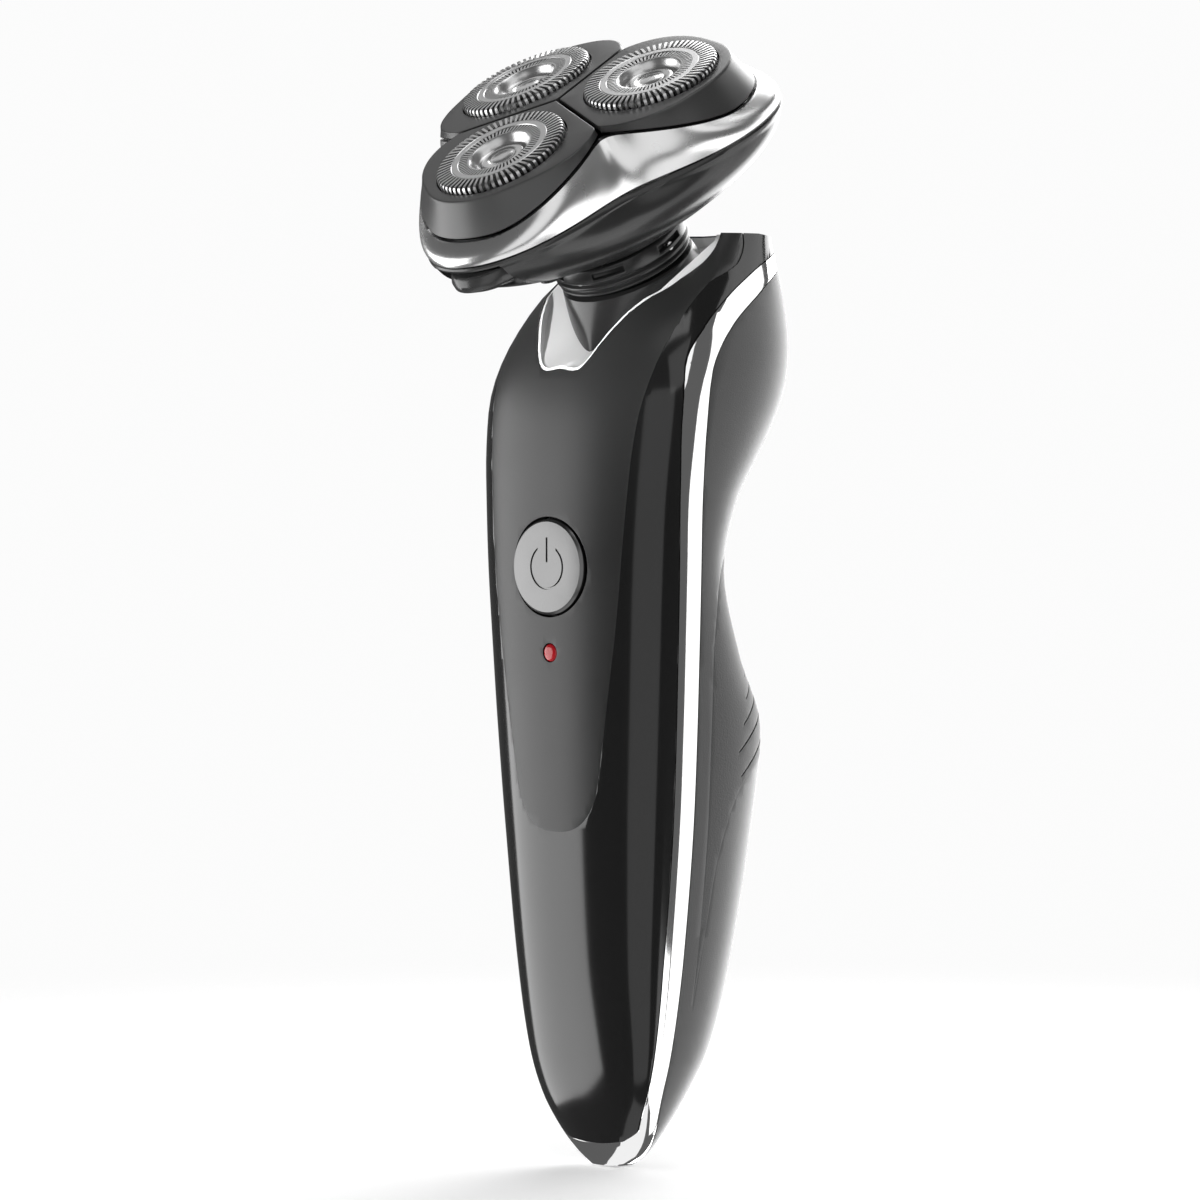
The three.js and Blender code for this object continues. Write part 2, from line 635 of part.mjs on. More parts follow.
// How far a petal's lower edge lies below its face, by the angle from the lobe's outer middle.
function petalDrop(away) {
  return THREE.MathUtils.lerp(4.8, 0.9, THREE.MathUtils.smoothstep(away, radians(20), radians(108)));
}

// The petals' lower edge seen from the head's axis: angle from the lobe's middle, reach and height.
const petalEdge = [];
for (let degree = 0; degree <= 112; degree += 4) {
  const away = radians(degree);
  const reach = petalReach(Math.sin(away), -Math.cos(away), PETAL.draft);
  const edge = new THREE.Vector3(reach * Math.sin(away), -reach * Math.cos(away), PETAL.top - petalDrop(away));
  edge.applyAxisAngle(new THREE.Vector3(1, 0, 0), radians(CUTTER_LEAN));
  edge.y -= CUTTER_RING;
  petalEdge.push({ angle: Math.atan2(edge.x, -edge.y), reach: Math.hypot(edge.x, edge.y), height: edge.z });
}

// Top edge of the skirt: follows the petals' lower edge, rounded off in the valleys.
const SKIRT = { margin: 0.25, below: 0.5, notchFill: 1.1, notchSpread: 4.5 };
function skirtTop(angle) {
  const last = petalEdge.length - 2;
  const place = petalEdge.findIndex((point) => point.angle >= angle) - 1;
  const i = place < -1 ? last : THREE.MathUtils.clamp(place, 0, last);
  const before = petalEdge[i];
  const after = petalEdge[i + 1];
  const t = THREE.MathUtils.clamp((angle - before.angle) / (after.angle - before.angle), 0, 1);
  const notch = Math.exp(-(((radians(60) - angle) / radians(SKIRT.notchSpread)) ** 2));
  return {
    reach: THREE.MathUtils.lerp(before.reach, after.reach, t) + SKIRT.margin + SKIRT.notchFill * notch,
    height: THREE.MathUtils.lerp(before.height, after.height, t) - SKIRT.below,
  };
}
const SKIRT_MIDDLE = -4.9;
function skirtStack(inset, below, above) {
  return solid(stack(42, 3, (t, cos, sin, onRim) => {
    const angle = fromLobe(cos, sin);
    const edge = skirtTop(angle);
    const foot = flangeReach(angle);
    const bulge = 0.9 * Math.sin(Math.PI * t);
    const reach = THREE.MathUtils.lerp(foot, edge.reach, t) + bulge - inset;
    const z = THREE.MathUtils.lerp(PART_LINE - below, edge.height + above, t);
    const middleZ = t > 0.5 ? SKIRT_MIDDLE + above : PART_LINE - below;
    return onRim ? [reach * cos, reach * sin, z] : [0, 0, middleZ];
  }));
}

let frame = solid(stack(36, 1, (t, cos, sin, onRim) => {
  const angle = fromLobe(cos, sin);
  const reach = Math.min(flangeReach(angle), skirtTop(angle).reach + 2.4) - 2.2;
  return onRim ? [reach * cos, reach * sin, -9.7 + 1.2 * t] : [0, 0, -9.7 + 1.2 * t];
}));
for (let i = 0; i < 3; i++) {
  frame = frame
    .subtract(solid(disc(8.6, -20, 0, 24)).translate(0, -CUTTER_RING, 0).rotate([0, 0, 120 * i]));
}
add('blade_frame', frame, 'satinBlack', head);

// ---------------------------------------------------------------- petals, guards and cutters

function petalSolid(extra, segments) {
  return solid(stack(segments, 4, (t, cos, sin, onRim) => {
    const level = Math.round(4 * (1 - t));
    const fall = [0, 0.5, 1, 1, 1][level];
    const away = Math.abs(Math.atan2(cos, -sin));
    const edge = PETAL.top - petalDrop(away) * fall;
    const ledge = edge - 0.9 * extra;
    const z = [edge + 4 * extra, edge, ledge, ledge - 0.4, PETAL.bottom - 3 * extra][level];
    const inset = [0, 0, 0, PETAL.foot, PETAL.foot][level];
    const reach = Math.max(petalReach(cos, sin, PETAL.draft * fall) - inset, 11.4) + extra;
    const centreZ = level < 2 ? PETAL.top + 4 * extra : PETAL.bottom - 3 * extra;
    return onRim ? [reach * cos, reach * sin, z] : [0, 0, centreZ];
  }));
}

const petalBody = petalSolid(0, 36).subtract(solid(disc(10.5, -20, 5, 28)));

// The chrome skirt leaves room for the petals to float.
const petalRoom = petalSolid(0.7, 24)
  .rotate([CUTTER_LEAN, 0, 0])
  .translate(0, -CUTTER_RING, 0);
let skirt = skirtStack(0, 0, 0).subtract(skirtStack(1.3, 1, 1));
for (let i = 0; i < 3; i++) {
  skirt = skirt.subtract(petalRoom.rotate([0, 0, 120 * i]));
}
for (const side of [-1, 1]) {
  const inner = side * 1.4;
  const outer = side * 3.4;
  skirt = skirt
    .add(solid(block(2, 3.6, 1.5, side * 2.4, HINGE.y - 1.8, HINGE.z + 1.3)))
    .add(knuckle(Math.min(inner, outer), Math.max(inner, outer), HINGE.barrel));
}
add('chrome_skirt', skirt.subtract(knuckle(-5, 5, HINGE.pin + 0.1)), 'chrome', head);

const CAP = { outer: 10.1, bowl: 4.4, lip: 3.7, wall: 0.5, skirt: -3.6 };
const capProfile = [
  [CAP.outer, CAP.skirt], [CAP.outer, -0.35], [CAP.outer - 0.35, 0], [CAP.bowl + 0.6, 0], [CAP.bowl, -0.6],
  [CAP.bowl, -1.5], [CAP.lip, -1.5], [CAP.lip, -2.0], [CAP.bowl + 0.6, -2.0], [CAP.bowl + 0.6, -0.7],
  [CAP.outer - CAP.wall, -0.7], [CAP.outer - CAP.wall, CAP.skirt], [CAP.outer, CAP.skirt]];

const discProfile = [[0, -2.0], [3.4, -2.0], [3.4, -1.3], [3.1, -1.1], [0, -1.1]];

const rotorProfile = [
  [0, -5.6], [3.4, -5.6], [3.4, -4.4], [8.6, -4.4], [8.9, -3.2], [8.9, -1.2], [7.3, -1.2], [7.0, -2.6],
  [2.6, -3.0], [0, -3.0]];

LOBES.forEach((number, i) => {
  const seat = new THREE.Group();
  seat.position.set(0, -CUTTER_RING, 0);
  seat.rotation.x = radians(CUTTER_LEAN);
  lobes[i].add(seat);
  add(`petal_${number}`, petalBody, 'satinBlack', seat);
  add(`guard_${number}`, turned(capProfile, 24), 'steel', seat);
  add(`guard_disc_${number}`, turned(discProfile, 20), 'chrome', seat);
  const socket = solid(block(3.2, 3.2, 2.2, 0, 0, -5.2));
  add(`cutter_${number}`, solid(turned(rotorProfile, 24)).subtract(socket), 'steel', seat);
});

export default group;
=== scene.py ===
"""Rotary electric shaver: the visible pieces and finishes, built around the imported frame.

Dimensions below are millimetres in the part's own frame: origin at the tip of the foot, +Z up the
handle, the button side faces -Y. Pieces of the head are laid out in the head's frame, whose axis
and pivots come from the record's joints.
"""

import json
import math

import bmesh
import bpy
from mathutils import Matrix, Vector


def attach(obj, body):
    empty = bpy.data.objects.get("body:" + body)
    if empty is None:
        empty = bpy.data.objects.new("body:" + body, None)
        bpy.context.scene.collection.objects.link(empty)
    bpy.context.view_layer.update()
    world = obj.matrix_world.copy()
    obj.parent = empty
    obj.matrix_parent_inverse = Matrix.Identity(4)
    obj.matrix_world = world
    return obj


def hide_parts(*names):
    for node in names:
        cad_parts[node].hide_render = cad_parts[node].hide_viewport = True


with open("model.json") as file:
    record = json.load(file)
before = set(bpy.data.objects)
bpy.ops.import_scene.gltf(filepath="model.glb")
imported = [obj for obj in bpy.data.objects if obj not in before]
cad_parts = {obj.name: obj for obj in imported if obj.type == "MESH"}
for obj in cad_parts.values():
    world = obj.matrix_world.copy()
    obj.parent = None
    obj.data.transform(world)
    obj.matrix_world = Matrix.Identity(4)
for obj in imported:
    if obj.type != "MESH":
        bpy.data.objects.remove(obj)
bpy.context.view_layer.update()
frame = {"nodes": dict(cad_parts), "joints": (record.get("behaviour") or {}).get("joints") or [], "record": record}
JOINTS = {joint["name"]: joint for joint in frame["joints"]}

MM = 0.001
SEAM = 0.16                      # visible parting line between neighbouring shells
WALL = 1.5                       # thickness of the handle shells
LOBES = (1, 2, 3)

# Handle sections from the foot up: height, half width, front, widest point, rear.
SECTIONS = [
    (0.0, 3.2, -2.4, 0.2, 2.8), (1.5, 5.4, -3.2, 0.0, 3.9), (4.7, 8.2, -4.6, -0.8, 5.4),
    (10.0, 10.7, -6.7, -2.2, 9.6), (17.0, 12.7, -8.4, -2.6, 14.1), (30.0, 14.5, -10.4, -2.3, 18.2),
    (50.0, 16.4, -12.0, -2.2, 22.0), (65.0, 17.5, -12.8, -2.6, 23.4),
    (75.0, 18.1, -13.2, -2.9, 17.3), (88.0, 18.8, -13.6, -3.3, 11.7),
    (98.0, 19.2, -13.5, -3.5, 15.2), (106.0, 19.7, -13.1, -3.0, 21.8),
    (114.0, 19.8, -12.0, -1.5, 27.2), (121.0, 18.9, -9.7, 3.0, 28.5),
    (128.5, 16.3, -4.8, 9.0, 28.0), (134.0, 13.8, 3.5, 13.0, 27.4), (138.0, 12.4, 9.0, 16.0, 26.5),
]
HANDLE_TOP = 138.0
FRONT_POWER = 2.3
REAR_POWER = 2.7

# Top edge of the handle in side view (y, z).
BROW = [(-30, 137.4), (18.5, 137.4), (25, 136.8), (29, 135.9), (34, 134.6), (34, 150), (-30, 150)]

# Centre line of the chrome trim in side view, and half its width along the way.
TRIM_LINE = [
    (0.2, -6), (0.0, 1), (-1.2, 5), (-2.5, 12), (-2.3, 30), (-2.2, 50), (-2.9, 75), (-3.5, 98),
    (-3.4, 109), (-1.9, 117), (1.5, 121.6), (6.5, 125.6), (12.5, 129), (19, 132), (27, 134.4),
    (36, 136.4),
]
TRIM_STEPS = 90
TRIM_HALF_WIDTHS = [
    1.6, 1.6, 1.5, 1.5, 2.0, 2.1, 2.2, 2.3, 2.4, 2.3, 1.8, 1.6, 1.5, 1.3, 1.1, 1.1,
]

# The trim also wraps the very toe of the handle under the glossy shell (y, z).
TRIM_TOE = [
    (-8, -1), (0.5, -1), (0.5, 1.5), (-1.2, 5.5), (-2.4, 9), (-2.7, 6), (-3.4, 4), (-4.6, 2.9),
    (-8, 2.3),
]

# Right half of the front panel's tongue in front view (x, z), from its tip upwards.
TONGUE = [
    (0, 49.9), (2.6, 50.1), (5.0, 51.3), (6.9, 53.8), (8.0, 57.5), (10.2, 71), (11.9, 83), (13.3, 98),
    (14.2, 108), (15.2, 116), (15.5, 122), (15.3, 126), (14.6, 130.5), (13.3, 134),
]

# Right half of the opening for the deck, in the head's frame (x, y).
DECK_OPENING = [
    (0, -20.3), (4.1, -20.1), (7.2, -15.2), (9.7, -9.9), (11.7, -5), (12.4, 1.5), (11.9, 7),
    (9.8, 12.4), (5.4, 15.8), (0, 16.8),
]
OPENING_HALF_WIDTH = 12
OPENING_HALF_LENGTH = 18
OPENING_MIDDLE = -1.5
RIM_WIDTH = 2.4
DECK_HEIGHT = -34.8
DECK_RISE = 5.1
NECK_TOP = -28.3
NECK_FOOT = -37.3

# Edge of the grip insert in side view (y, z).
GRIP_OUTLINE = [
    (2.7, 24), (3.1, 38), (3.2, 50), (2.8, 65), (3.0, 80), (6.5, 90), (20, 94), (40, 94),
    (40, 62.5), (24, 61.5), (16, 59), (10.2, 55), (6.2, 46.5), (4.3, 36),
]
GRIP_TAIL = (3.2, 28)
# Finger grooves on the grip's hump in side view: rear end, middle, front end.
GRIP_GROOVES = [
    [(17.0, 80.0), (14.4, 77.4), (12.8, 75.4)], [(18.6, 77.4), (15.2, 74.6), (12.6, 72.2)],
    [(20.4, 74.9), (16.2, 72.0), (12.0, 69.0)], [(22.4, 72.4), (17.0, 69.4), (11.0, 65.2)],
    [(25.0, 69.8), (18.4, 66.6), (10.0, 61.2)], [(27.0, 66.8), (19.6, 63.0), (11.0, 57.6)],
]

GROOVE_HALF_WIDTH = 0.26
GROOVE_DEPTH = 0.45
GROOVE_STEPS = 12

BUTTON = {"z": 88.5, "radius": 7.0, "front": -13.9, "depth": 2.0}
LIGHT = {"z": 76.0, "radius": 1.3, "front": -13.35}
GIMBAL_DROP = 25.0               # the head's pivot lies this far below the shaving face
CUTTER_RING = 14.43
CUTTER_PIVOT_DROP = 4.0
PART_LINE = -10.0                # joint between head base and head top, head frame
HINGE_Y = 23.6
KNUCKLE = 1.5
HINGE_BORE = 0.8

# ---------------------------------------------------------------- frames taken from the record

head_axis = Vector(JOINTS["motor_turn"]["axis"]).normalized()
pivot = Vector(JOINTS["head_pitch"]["pos_m"]) / MM
HEAD = Matrix.Translation(pivot + head_axis * GIMBAL_DROP) @ Matrix.Rotation(
    math.atan2(-head_axis.y, head_axis.z), 4, "X")


def seat_frame(lobe):
    """Frame of a petal: its centre on the shaving face, its axis along the cutter's."""
    joint = JOINTS[f"cutter_turn_{lobe}"]
    turn = Matrix.Rotation(2 * math.pi * (lobe - 1) / 3, 4, "Z")
    axis = Vector(joint["axis"]).normalized()
    centre = Vector(joint["pos_m"]) / MM + axis * CUTTER_PIVOT_DROP
    upright = HEAD.to_3x3().to_4x4() @ turn
    side = upright.col[0].to_3d()
    depth = axis.cross(side).normalized()
    return Matrix.Translation(centre) @ Matrix((side, depth, axis)).transposed().to_4x4()


SEATS = {lobe: seat_frame(lobe) for lobe in LOBES}

# ---------------------------------------------------------------- curves


def smooth_line(points, samples):
    """Catmull-Rom curve through the points."""
    line = []
    last = len(points) - 1
    for step in range(samples + 1):
        place = last * step / samples
        i = min(int(place), last - 1)
        t = place - i
        p0, p1 = points[max(i - 1, 0)], points[i]
        p2, p3 = points[i + 1], points[min(i + 2, last)]
        line.append(tuple(
            b + 0.5 * t * (c - a + t * (2 * a - 5 * b + 4 * c - d + t * (3 * (b - c) + d - a)))
            for a, b, c, d in zip(p0, p1, p2, p3)))
    return line


def section_at(z):
    """Half width, front, widest point and rear of the handle at a height."""
    last = len(SECTIONS) - 1
    i = 0
    while i < last - 1 and z > SECTIONS[i + 1][0]:
        i += 1
    low, high = SECTIONS[i], SECTIONS[i + 1]
    before = SECTIONS[i - 1] if i > 0 else None
    after = SECTIONS[i + 2] if i + 2 <= last else None
    span = high[0] - low[0]
    t = (z - low[0]) / span
    t_before = low[0] - before[0] if before else span
    t_after = after[0] - high[0] if after else span
    row = []
    for column in range(1, 5):
        a, b = low[column], high[column]
        slope_in = (b - a) / span if not before else (b - before[column]) / (span + t_before)
        slope_out = (b - a) / span if not after else (after[column] - a) / (span + t_after)
        row.append((2 * t ** 3 - 3 * t ** 2 + 1) * a + (t ** 3 - 2 * t ** 2 + t) * span * slope_in
                   + (3 * t ** 2 - 2 * t ** 3) * b + (t ** 3 - t ** 2) * span * slope_out)
    return row


def grown(outline, offset):
    """A closed outline with every point moved outwards by offset."""
    area = sum(a[0] * b[1] - b[0] * a[1] for a, b in zip(outline, outline[1:] + outline[:1]))
    outwards = math.copysign(offset, area)
    moved = []
    for before, here, after in zip(outline[-1:] + outline[:-1], outline, outline[1:] + outline[:1]):
        arriving = Vector(here) - Vector(before)
        leaving = Vector(after) - Vector(here)
        way = (arriving.normalized() + leaving.normalized()).normalized()
        moved.append((here[0] + way.y * outwards, here[1] - way.x * outwards))
    return moved


def lerp(a, b, t):
    return a + (b - a) * t


def smoothstep(value, low, high):
    t = min(max((value - low) / (high - low), 0.0), 1.0)
    return t * t * (3 - 2 * t)


def signed_power(value, exponent):
    return math.copysign(abs(value) ** (2 / exponent), value)


def turns(count):
    return [2 * math.pi * i / count for i in range(count)]


# ---------------------------------------------------------------- modelling by operators


def settle():
    if bpy.context.object and bpy.context.object.mode != "OBJECT":
        bpy.ops.object.mode_set(mode="OBJECT")
    bpy.ops.object.select_all(action="DESELECT")


def pick(piece):
    settle()
    piece.select_set(True)
    bpy.context.view_layer.objects.active = piece


def rename(piece, name):
    piece.name = name
    piece.data.name = name
    return piece


def raise_rings(name, rings, closed=False, place=Matrix.Identity(4)):
    """Starts from a circle and extrudes it ring by ring through the given rings of points.
    A closed body ends where it began, as a tube bent back on itself."""
    settle()
    bpy.ops.mesh.primitive_circle_add(
        vertices=len(rings[0]), radius=1.0, fill_type="NOTHING" if closed else "NGON")
    piece = rename(bpy.context.object, name)
    bpy.ops.object.mode_set(mode="EDIT")
    bpy.ops.mesh.select_all(action="SELECT")
    mesh = bmesh.from_edit_mesh(piece.data)
    mesh.verts.ensure_lookup_table()
    where = {}
    for i, vert in enumerate(mesh.verts):
        vert.co = place @ Vector(rings[0][i]) * MM
        where[tuple(round(c, 8) for c in vert.co)] = i
    bmesh.update_edit_mesh(piece.data)
    for ring in rings[1:] + ([rings[0]] if closed else []):
        bpy.ops.mesh.extrude_region_move()
        mesh = bmesh.from_edit_mesh(piece.data)
        moved = {}
        for vert in [v for v in mesh.verts if v.select]:
            i = where[tuple(round(c, 8) for c in vert.co)]
            vert.co = place @ Vector(ring[i]) * MM
            moved[tuple(round(c, 8) for c in vert.co)] = i
        where = moved
        bmesh.update_edit_mesh(piece.data)
    bpy.ops.mesh.select_all(action="SELECT")
    if closed:
        bpy.ops.mesh.remove_doubles(threshold=1e-7)
    bpy.ops.mesh.normals_make_consistent(inside=False)
    settle()
    return piece


def turned(name, profile, count, place=Matrix.Identity(4), closed=False):
    """Round body with the given (radius, height) profile about its own Z."""
    rings = [[(r * math.cos(a), r * math.sin(a), z) for a in turns(count)] for r, z in profile]
    return raise_rings(name, rings, closed, place)


def drawn_prism(name, outline, lift, place=Matrix.Identity(4)):
    """Outline of 3-D points pushed along lift."""
    far = [tuple(a + b for a, b in zip(point, lift)) for point in outline]
    return raise_rings(name, [list(outline), far], False, place)


def side_prism(name, outline, half_width=40.0):
    return drawn_prism(name, [(-half_width, y, z) for y, z in outline], (2 * half_width, 0, 0))


def front_prism(name, outline, rear, front):
    return drawn_prism(name, [(x, rear, z) for x, z in outline], (0, front - rear, 0))


def box(name, size, centre, place=Matrix.Identity(4)):
    x, y, z = (s / 2 for s in size)
    cx, cy, cz = centre
    corners = ((-x, -y), (x, -y), (x, y), (-x, y))
    outline = [(cx + dx, cy + dy, cz - z) for dx, dy in corners]
    return drawn_prism(name, outline, (0, 0, 2 * z), place)


def duplicate(piece, name, matrix=None):
    """A copy with its own mesh, moved by a matrix in millimetres."""
    twin = piece.copy()
    twin.data = piece.data.copy()
    bpy.context.scene.collection.objects.link(twin)
    if matrix is not None:
        scale = Matrix.Scale(MM, 4)
        twin.data.transform(scale @ matrix @ scale.inverted())
    return rename(twin, name)


def combine(piece, tool, operation, keep_tool=False):
    """Boolean of two closed bodies, applied."""
    pick(piece)
    modifier = piece.modifiers.new("cut", "BOOLEAN")
    modifier.operation = operation
    modifier.object = tool
    modifier.solver = "MANIFOLD"
    bpy.ops.object.modifier_apply(modifier=modifier.name)
    if not keep_tool:
        bpy.data.objects.remove(tool, do_unlink=True)
    settle()
    return piece


def cut(piece, tool, keep_tool=False):
    return combine(piece, tool, "DIFFERENCE", keep_tool)


def keep(piece, tool, keep_tool=False):
    return combine(piece, tool, "INTERSECT", keep_tool)


def weld(piece, *others):
    for other in others:
        combine(piece, other, "UNION")
    return piece


def repeat_around(piece, count, place):
    """Copies a piece round an axis by spinning it in edit mode."""
    pick(piece)
    bpy.ops.object.mode_set(mode="EDIT")
    bpy.ops.mesh.select_all(action="SELECT")
    bpy.ops.mesh.spin(
        steps=count - 1, dupli=True, angle=2 * math.pi * (count - 1) / count,
        center=place.to_translation() * MM, axis=place.to_3x3() @ Vector((0, 0, 1)))
    bpy.ops.mesh.select_all(action="SELECT")
    bpy.ops.mesh.normals_make_consistent(inside=False)
    settle()
    return piece


def finish_edges(piece, width=0.12, segments=2, angle=40.0, smooth=35.0):
    """Breaks the sharp edges and shades the rest smooth."""
    pick(piece)
    if width:
        bevel = piece.modifiers.new("broken edge", "BEVEL")
        bevel.width = width * MM
        bevel.segments = segments
        bevel.limit_method = "ANGLE"
        bevel.angle_limit = math.radians(angle)
        bevel.use_clamp_overlap = True
        bpy.ops.object.modifier_apply(modifier=bevel.name)
    bpy.ops.object.shade_smooth_by_angle(angle=math.radians(smooth))
    settle()
    return piece


def fit(piece, body, slot, finish, *nodes):
    """Gives a piece its finish and its body, and hides the CAD nodes that it stands for."""
    piece.data.materials.clear()
    piece.data.materials.append(finish)
    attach(piece, body)
    if nodes:
        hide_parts(*nodes)
    return piece


# ---------------------------------------------------------------- finishes


class Value:
    """A number that varies over a surface. Sums and products of it add Math nodes."""

    def __init__(self, finish, socket):
        self.finish = finish
        self.socket = socket

    def _math(self, operation, *terms):
        node = self.finish.node("ShaderNodeMath", {"operation": operation}, dict(enumerate(terms)))
        return Value(self.finish, node.outputs[0])

    def __add__(self, other):
        return self._math("ADD", self, other)

    def __mul__(self, other):
        return self._math("MULTIPLY", self, other)


class Finish:
    """A node material, built node by node."""

    def __init__(self, name):
        self.material = bpy.data.materials.new(name)
        self.material.use_nodes = True
        self.tree = self.material.node_tree
        self.tree.nodes.clear()
        self.shader = self.node("ShaderNodeBsdfPrincipled")
        output = self.node("ShaderNodeOutputMaterial")
        self.tree.links.new(self.shader.outputs[0], output.inputs["Surface"])
        self.place = self.node("ShaderNodeTexCoord").outputs["Object"]

    def node(self, kind, settings=None, sockets=None):
        node = self.tree.nodes.new(kind)
        for key, value in (settings or {}).items():
            setattr(node, key, value)
        for key, value in (sockets or {}).items():
            self.plug(node.inputs[key], value)
        return node

    def plug(self, socket, value):
        if isinstance(value, Value):
            value = value.socket
        if isinstance(value, bpy.types.NodeSocket):
            self.tree.links.new(value, socket)
        else:
            socket.default_value = value

    def set(self, **sockets):
        for key, value in sockets.items():
            self.plug(self.shader.inputs[key.replace("_", " ")], value)
        return self

    def stretched(self, scale, location=(0, 0, 0), rotation=(0, 0, 0)):
        """Object coordinates centred, turned and then stretched."""
        centred = self.node("ShaderNodeMapping", {"vector_type": "TEXTURE"}, {
            "Vector": self.place, "Location": location, "Rotation": rotation}).outputs[0]
        return self.scaled(centred, scale)

    def scaled(self, vector, scale):
        node = self.node("ShaderNodeVectorMath", {"operation": "MULTIPLY"}, {0: vector, 1: scale})
        return node.outputs[0]

    def length(self, vector):
        node = self.node("ShaderNodeVectorMath", {"operation": "LENGTH"}, {0: vector})
        return Value(self, node.outputs["Value"])

    def noise(self, scale, detail=3.0, vector=None):
        node = self.node("ShaderNodeTexNoise", None, {
            "Vector": vector or self.place, "Scale": scale, "Detail": detail, "Roughness": 0.5})
        return Value(self, node.outputs[0])

    def blend(self, factor, first, second):
        node = self.node("ShaderNodeMix", {"data_type": "RGBA"}, {0: factor, 6: first, 7: second})
        return node.outputs[2]

    def bump(self, height, distance):
        sockets = {"Height": height, "Distance": distance, "Strength": 1.0}
        node = self.node("ShaderNodeBump", None, sockets)
        return self.set(Normal=node.outputs[0])


def grey(value, warmth=0.0):
    return (value * (1 + warmth), value, value * (1 - warmth), 1.0)


def moulded_plastic(name, color, roughness, grain, depth, tone=0.25, smudge=0.08, **constants):
    """Moulded plastic: fine spark-eroded grain, faint handling marks and slight tone variation."""
    finish = Finish(name)
    grains = finish.noise(grain, 2.0)
    patches = finish.noise(90.0, 4.0)
    deeper = tuple(c * (1 - tone) for c in color[:3]) + (1.0,)
    finish.set(Base_Color=finish.blend(patches * 0.6 + grains * 0.4, deeper, color))
    finish.set(Roughness=patches * smudge + grains * (smudge * 0.5) + (roughness - smudge * 0.75))
    finish.bump(grains, depth * MM)
    finish.set(**constants)
    return finish.material


def plated_metal(name, color, roughness, smudge=0.03, ripple=0.004):
    """Polished plating with faint handling marks and the slight waviness of a plated moulding."""
    finish = Finish(name)
    marks = finish.noise(140.0, 5.0)
    wave = finish.noise(60.0, 1.0)
    deeper = tuple(c * 0.93 for c in color[:3]) + (1.0,)
    finish.set(Base_Color=finish.blend(marks, deeper, color), Metallic=1.0)
    finish.set(Roughness=marks * smudge + (roughness - smudge * 0.5))
    finish.bump(wave, ripple * MM)
    return finish.material


def turned_metal(name, place, color, roughness, rings, depth):
    """Metal with fine concentric turning marks about a frame's axis."""
    finish = Finish(name)
    rotation = place.to_euler()
    flat = finish.stretched((1.0, 1.0, 0.0), place.to_translation() * MM, rotation)
    along = finish.node("ShaderNodeCombineXYZ", None, {"X": finish.length(flat)}).outputs[0]
    lines = finish.noise(rings, 2.0, along)
    patches = finish.noise(300.0, 3.0)
    deeper = tuple(c * 0.8 for c in color[:3]) + (1.0,)
    finish.set(Base_Color=finish.blend(lines * 0.6 + patches * 0.4, deeper, color), Metallic=1.0)
    finish.set(Roughness=lines * 0.12 + patches * 0.06 + (roughness - 0.09))
    finish.bump(lines, depth * MM)
    return finish.material


def brushed_metal(name, color, roughness, stretch, depth=0.005):
    """Metal brushed in straight lines."""
    finish = Finish(name)
    lines = finish.noise(1.0, 3.0, finish.stretched(stretch))
    patches = finish.noise(200.0, 3.0)
    deeper = tuple(c * 0.82 for c in color[:3]) + (1.0,)
    finish.set(Base_Color=finish.blend(lines * 0.7 + patches * 0.3, deeper, color), Metallic=1.0)
    finish.set(Roughness=lines * 0.14 + (roughness - 0.07))
    finish.bump(lines, depth * MM)
    return finish.material


SATIN_BLACK = moulded_plastic(
    "satin black moulding", grey(0.022), 0.36, 6000.0, 0.010, Specular_IOR_Level=0.38)
PETAL_BLACK = moulded_plastic("petal black moulding", grey(0.040), 0.33, 7000.0, 0.006)
HEAD_BLACK = moulded_plastic("head black moulding", grey(0.018), 0.24, 7000.0, 0.004)
NECK_BLACK = moulded_plastic("neck black moulding", grey(0.014), 0.26, 7000.0, 0.004)
GLOSS_BLACK = moulded_plastic("piano black gloss", grey(0.008), 0.12, 400.0, 0.0004, 0.15, 0.03)
SOFT_GREY = moulded_plastic("soft-touch dark grey", grey(0.036), 0.42, 5200.0, 0.022, 0.2, 0.08)
GRIP_BLACK = moulded_plastic("grip elastomer", grey(0.040), 0.56, 3600.0, 0.030, 0.25, 0.08)
CHROME = plated_metal("bright chrome plating", grey(0.88), 0.06, 0.03, 0.001)
SKIRT_CHROME = plated_metal("skirt chrome plating", grey(0.84), 0.27, 0.05, 0.001)
DECK_SILVER = moulded_plastic(
    "deck silver lacquer", grey(0.88), 0.30, 5000.0, 0.003, 0.05, 0.05, Coat_Weight=0.4)
SILVER = brushed_metal("button brushed silver", grey(0.15), 0.30, (9000.0, 9000.0, 260.0), 0.002)
STEEL = brushed_metal("bright shaft steel", grey(0.60), 0.26, (6000.0, 6000.0, 400.0))
GEAR_WHITE = moulded_plastic("gear acetal", grey(0.80, 0.03), 0.42, 4000.0, 0.006, 0.08)
BOARD_GREEN = moulded_plastic("board lacquer", (0.02, 0.13, 0.05, 1.0), 0.35, 1800.0, 0.02, 0.3)
BRASS = brushed_metal("stamped brass", (0.75, 0.56, 0.25, 1.0), 0.30, (5000.0, 300.0, 5000.0))
CELL_WRAP = moulded_plastic("cell wrap", (0.04, 0.16, 0.42, 1.0), 0.25, 900.0, 0.02, 0.15)
LIGHT_RED = moulded_plastic(
    "light lens red", (0.42, 0.006, 0.012, 1.0), 0.18, 2500.0, 0.004, 0.2, 0.04)


def turned_on_seats(name, *values):
    """The same turned metal for each lobe, its marks centred on that lobe's seat."""
    return {lobe: turned_metal(f"{name} {lobe}", SEATS[lobe], *values) for lobe in LOBES}


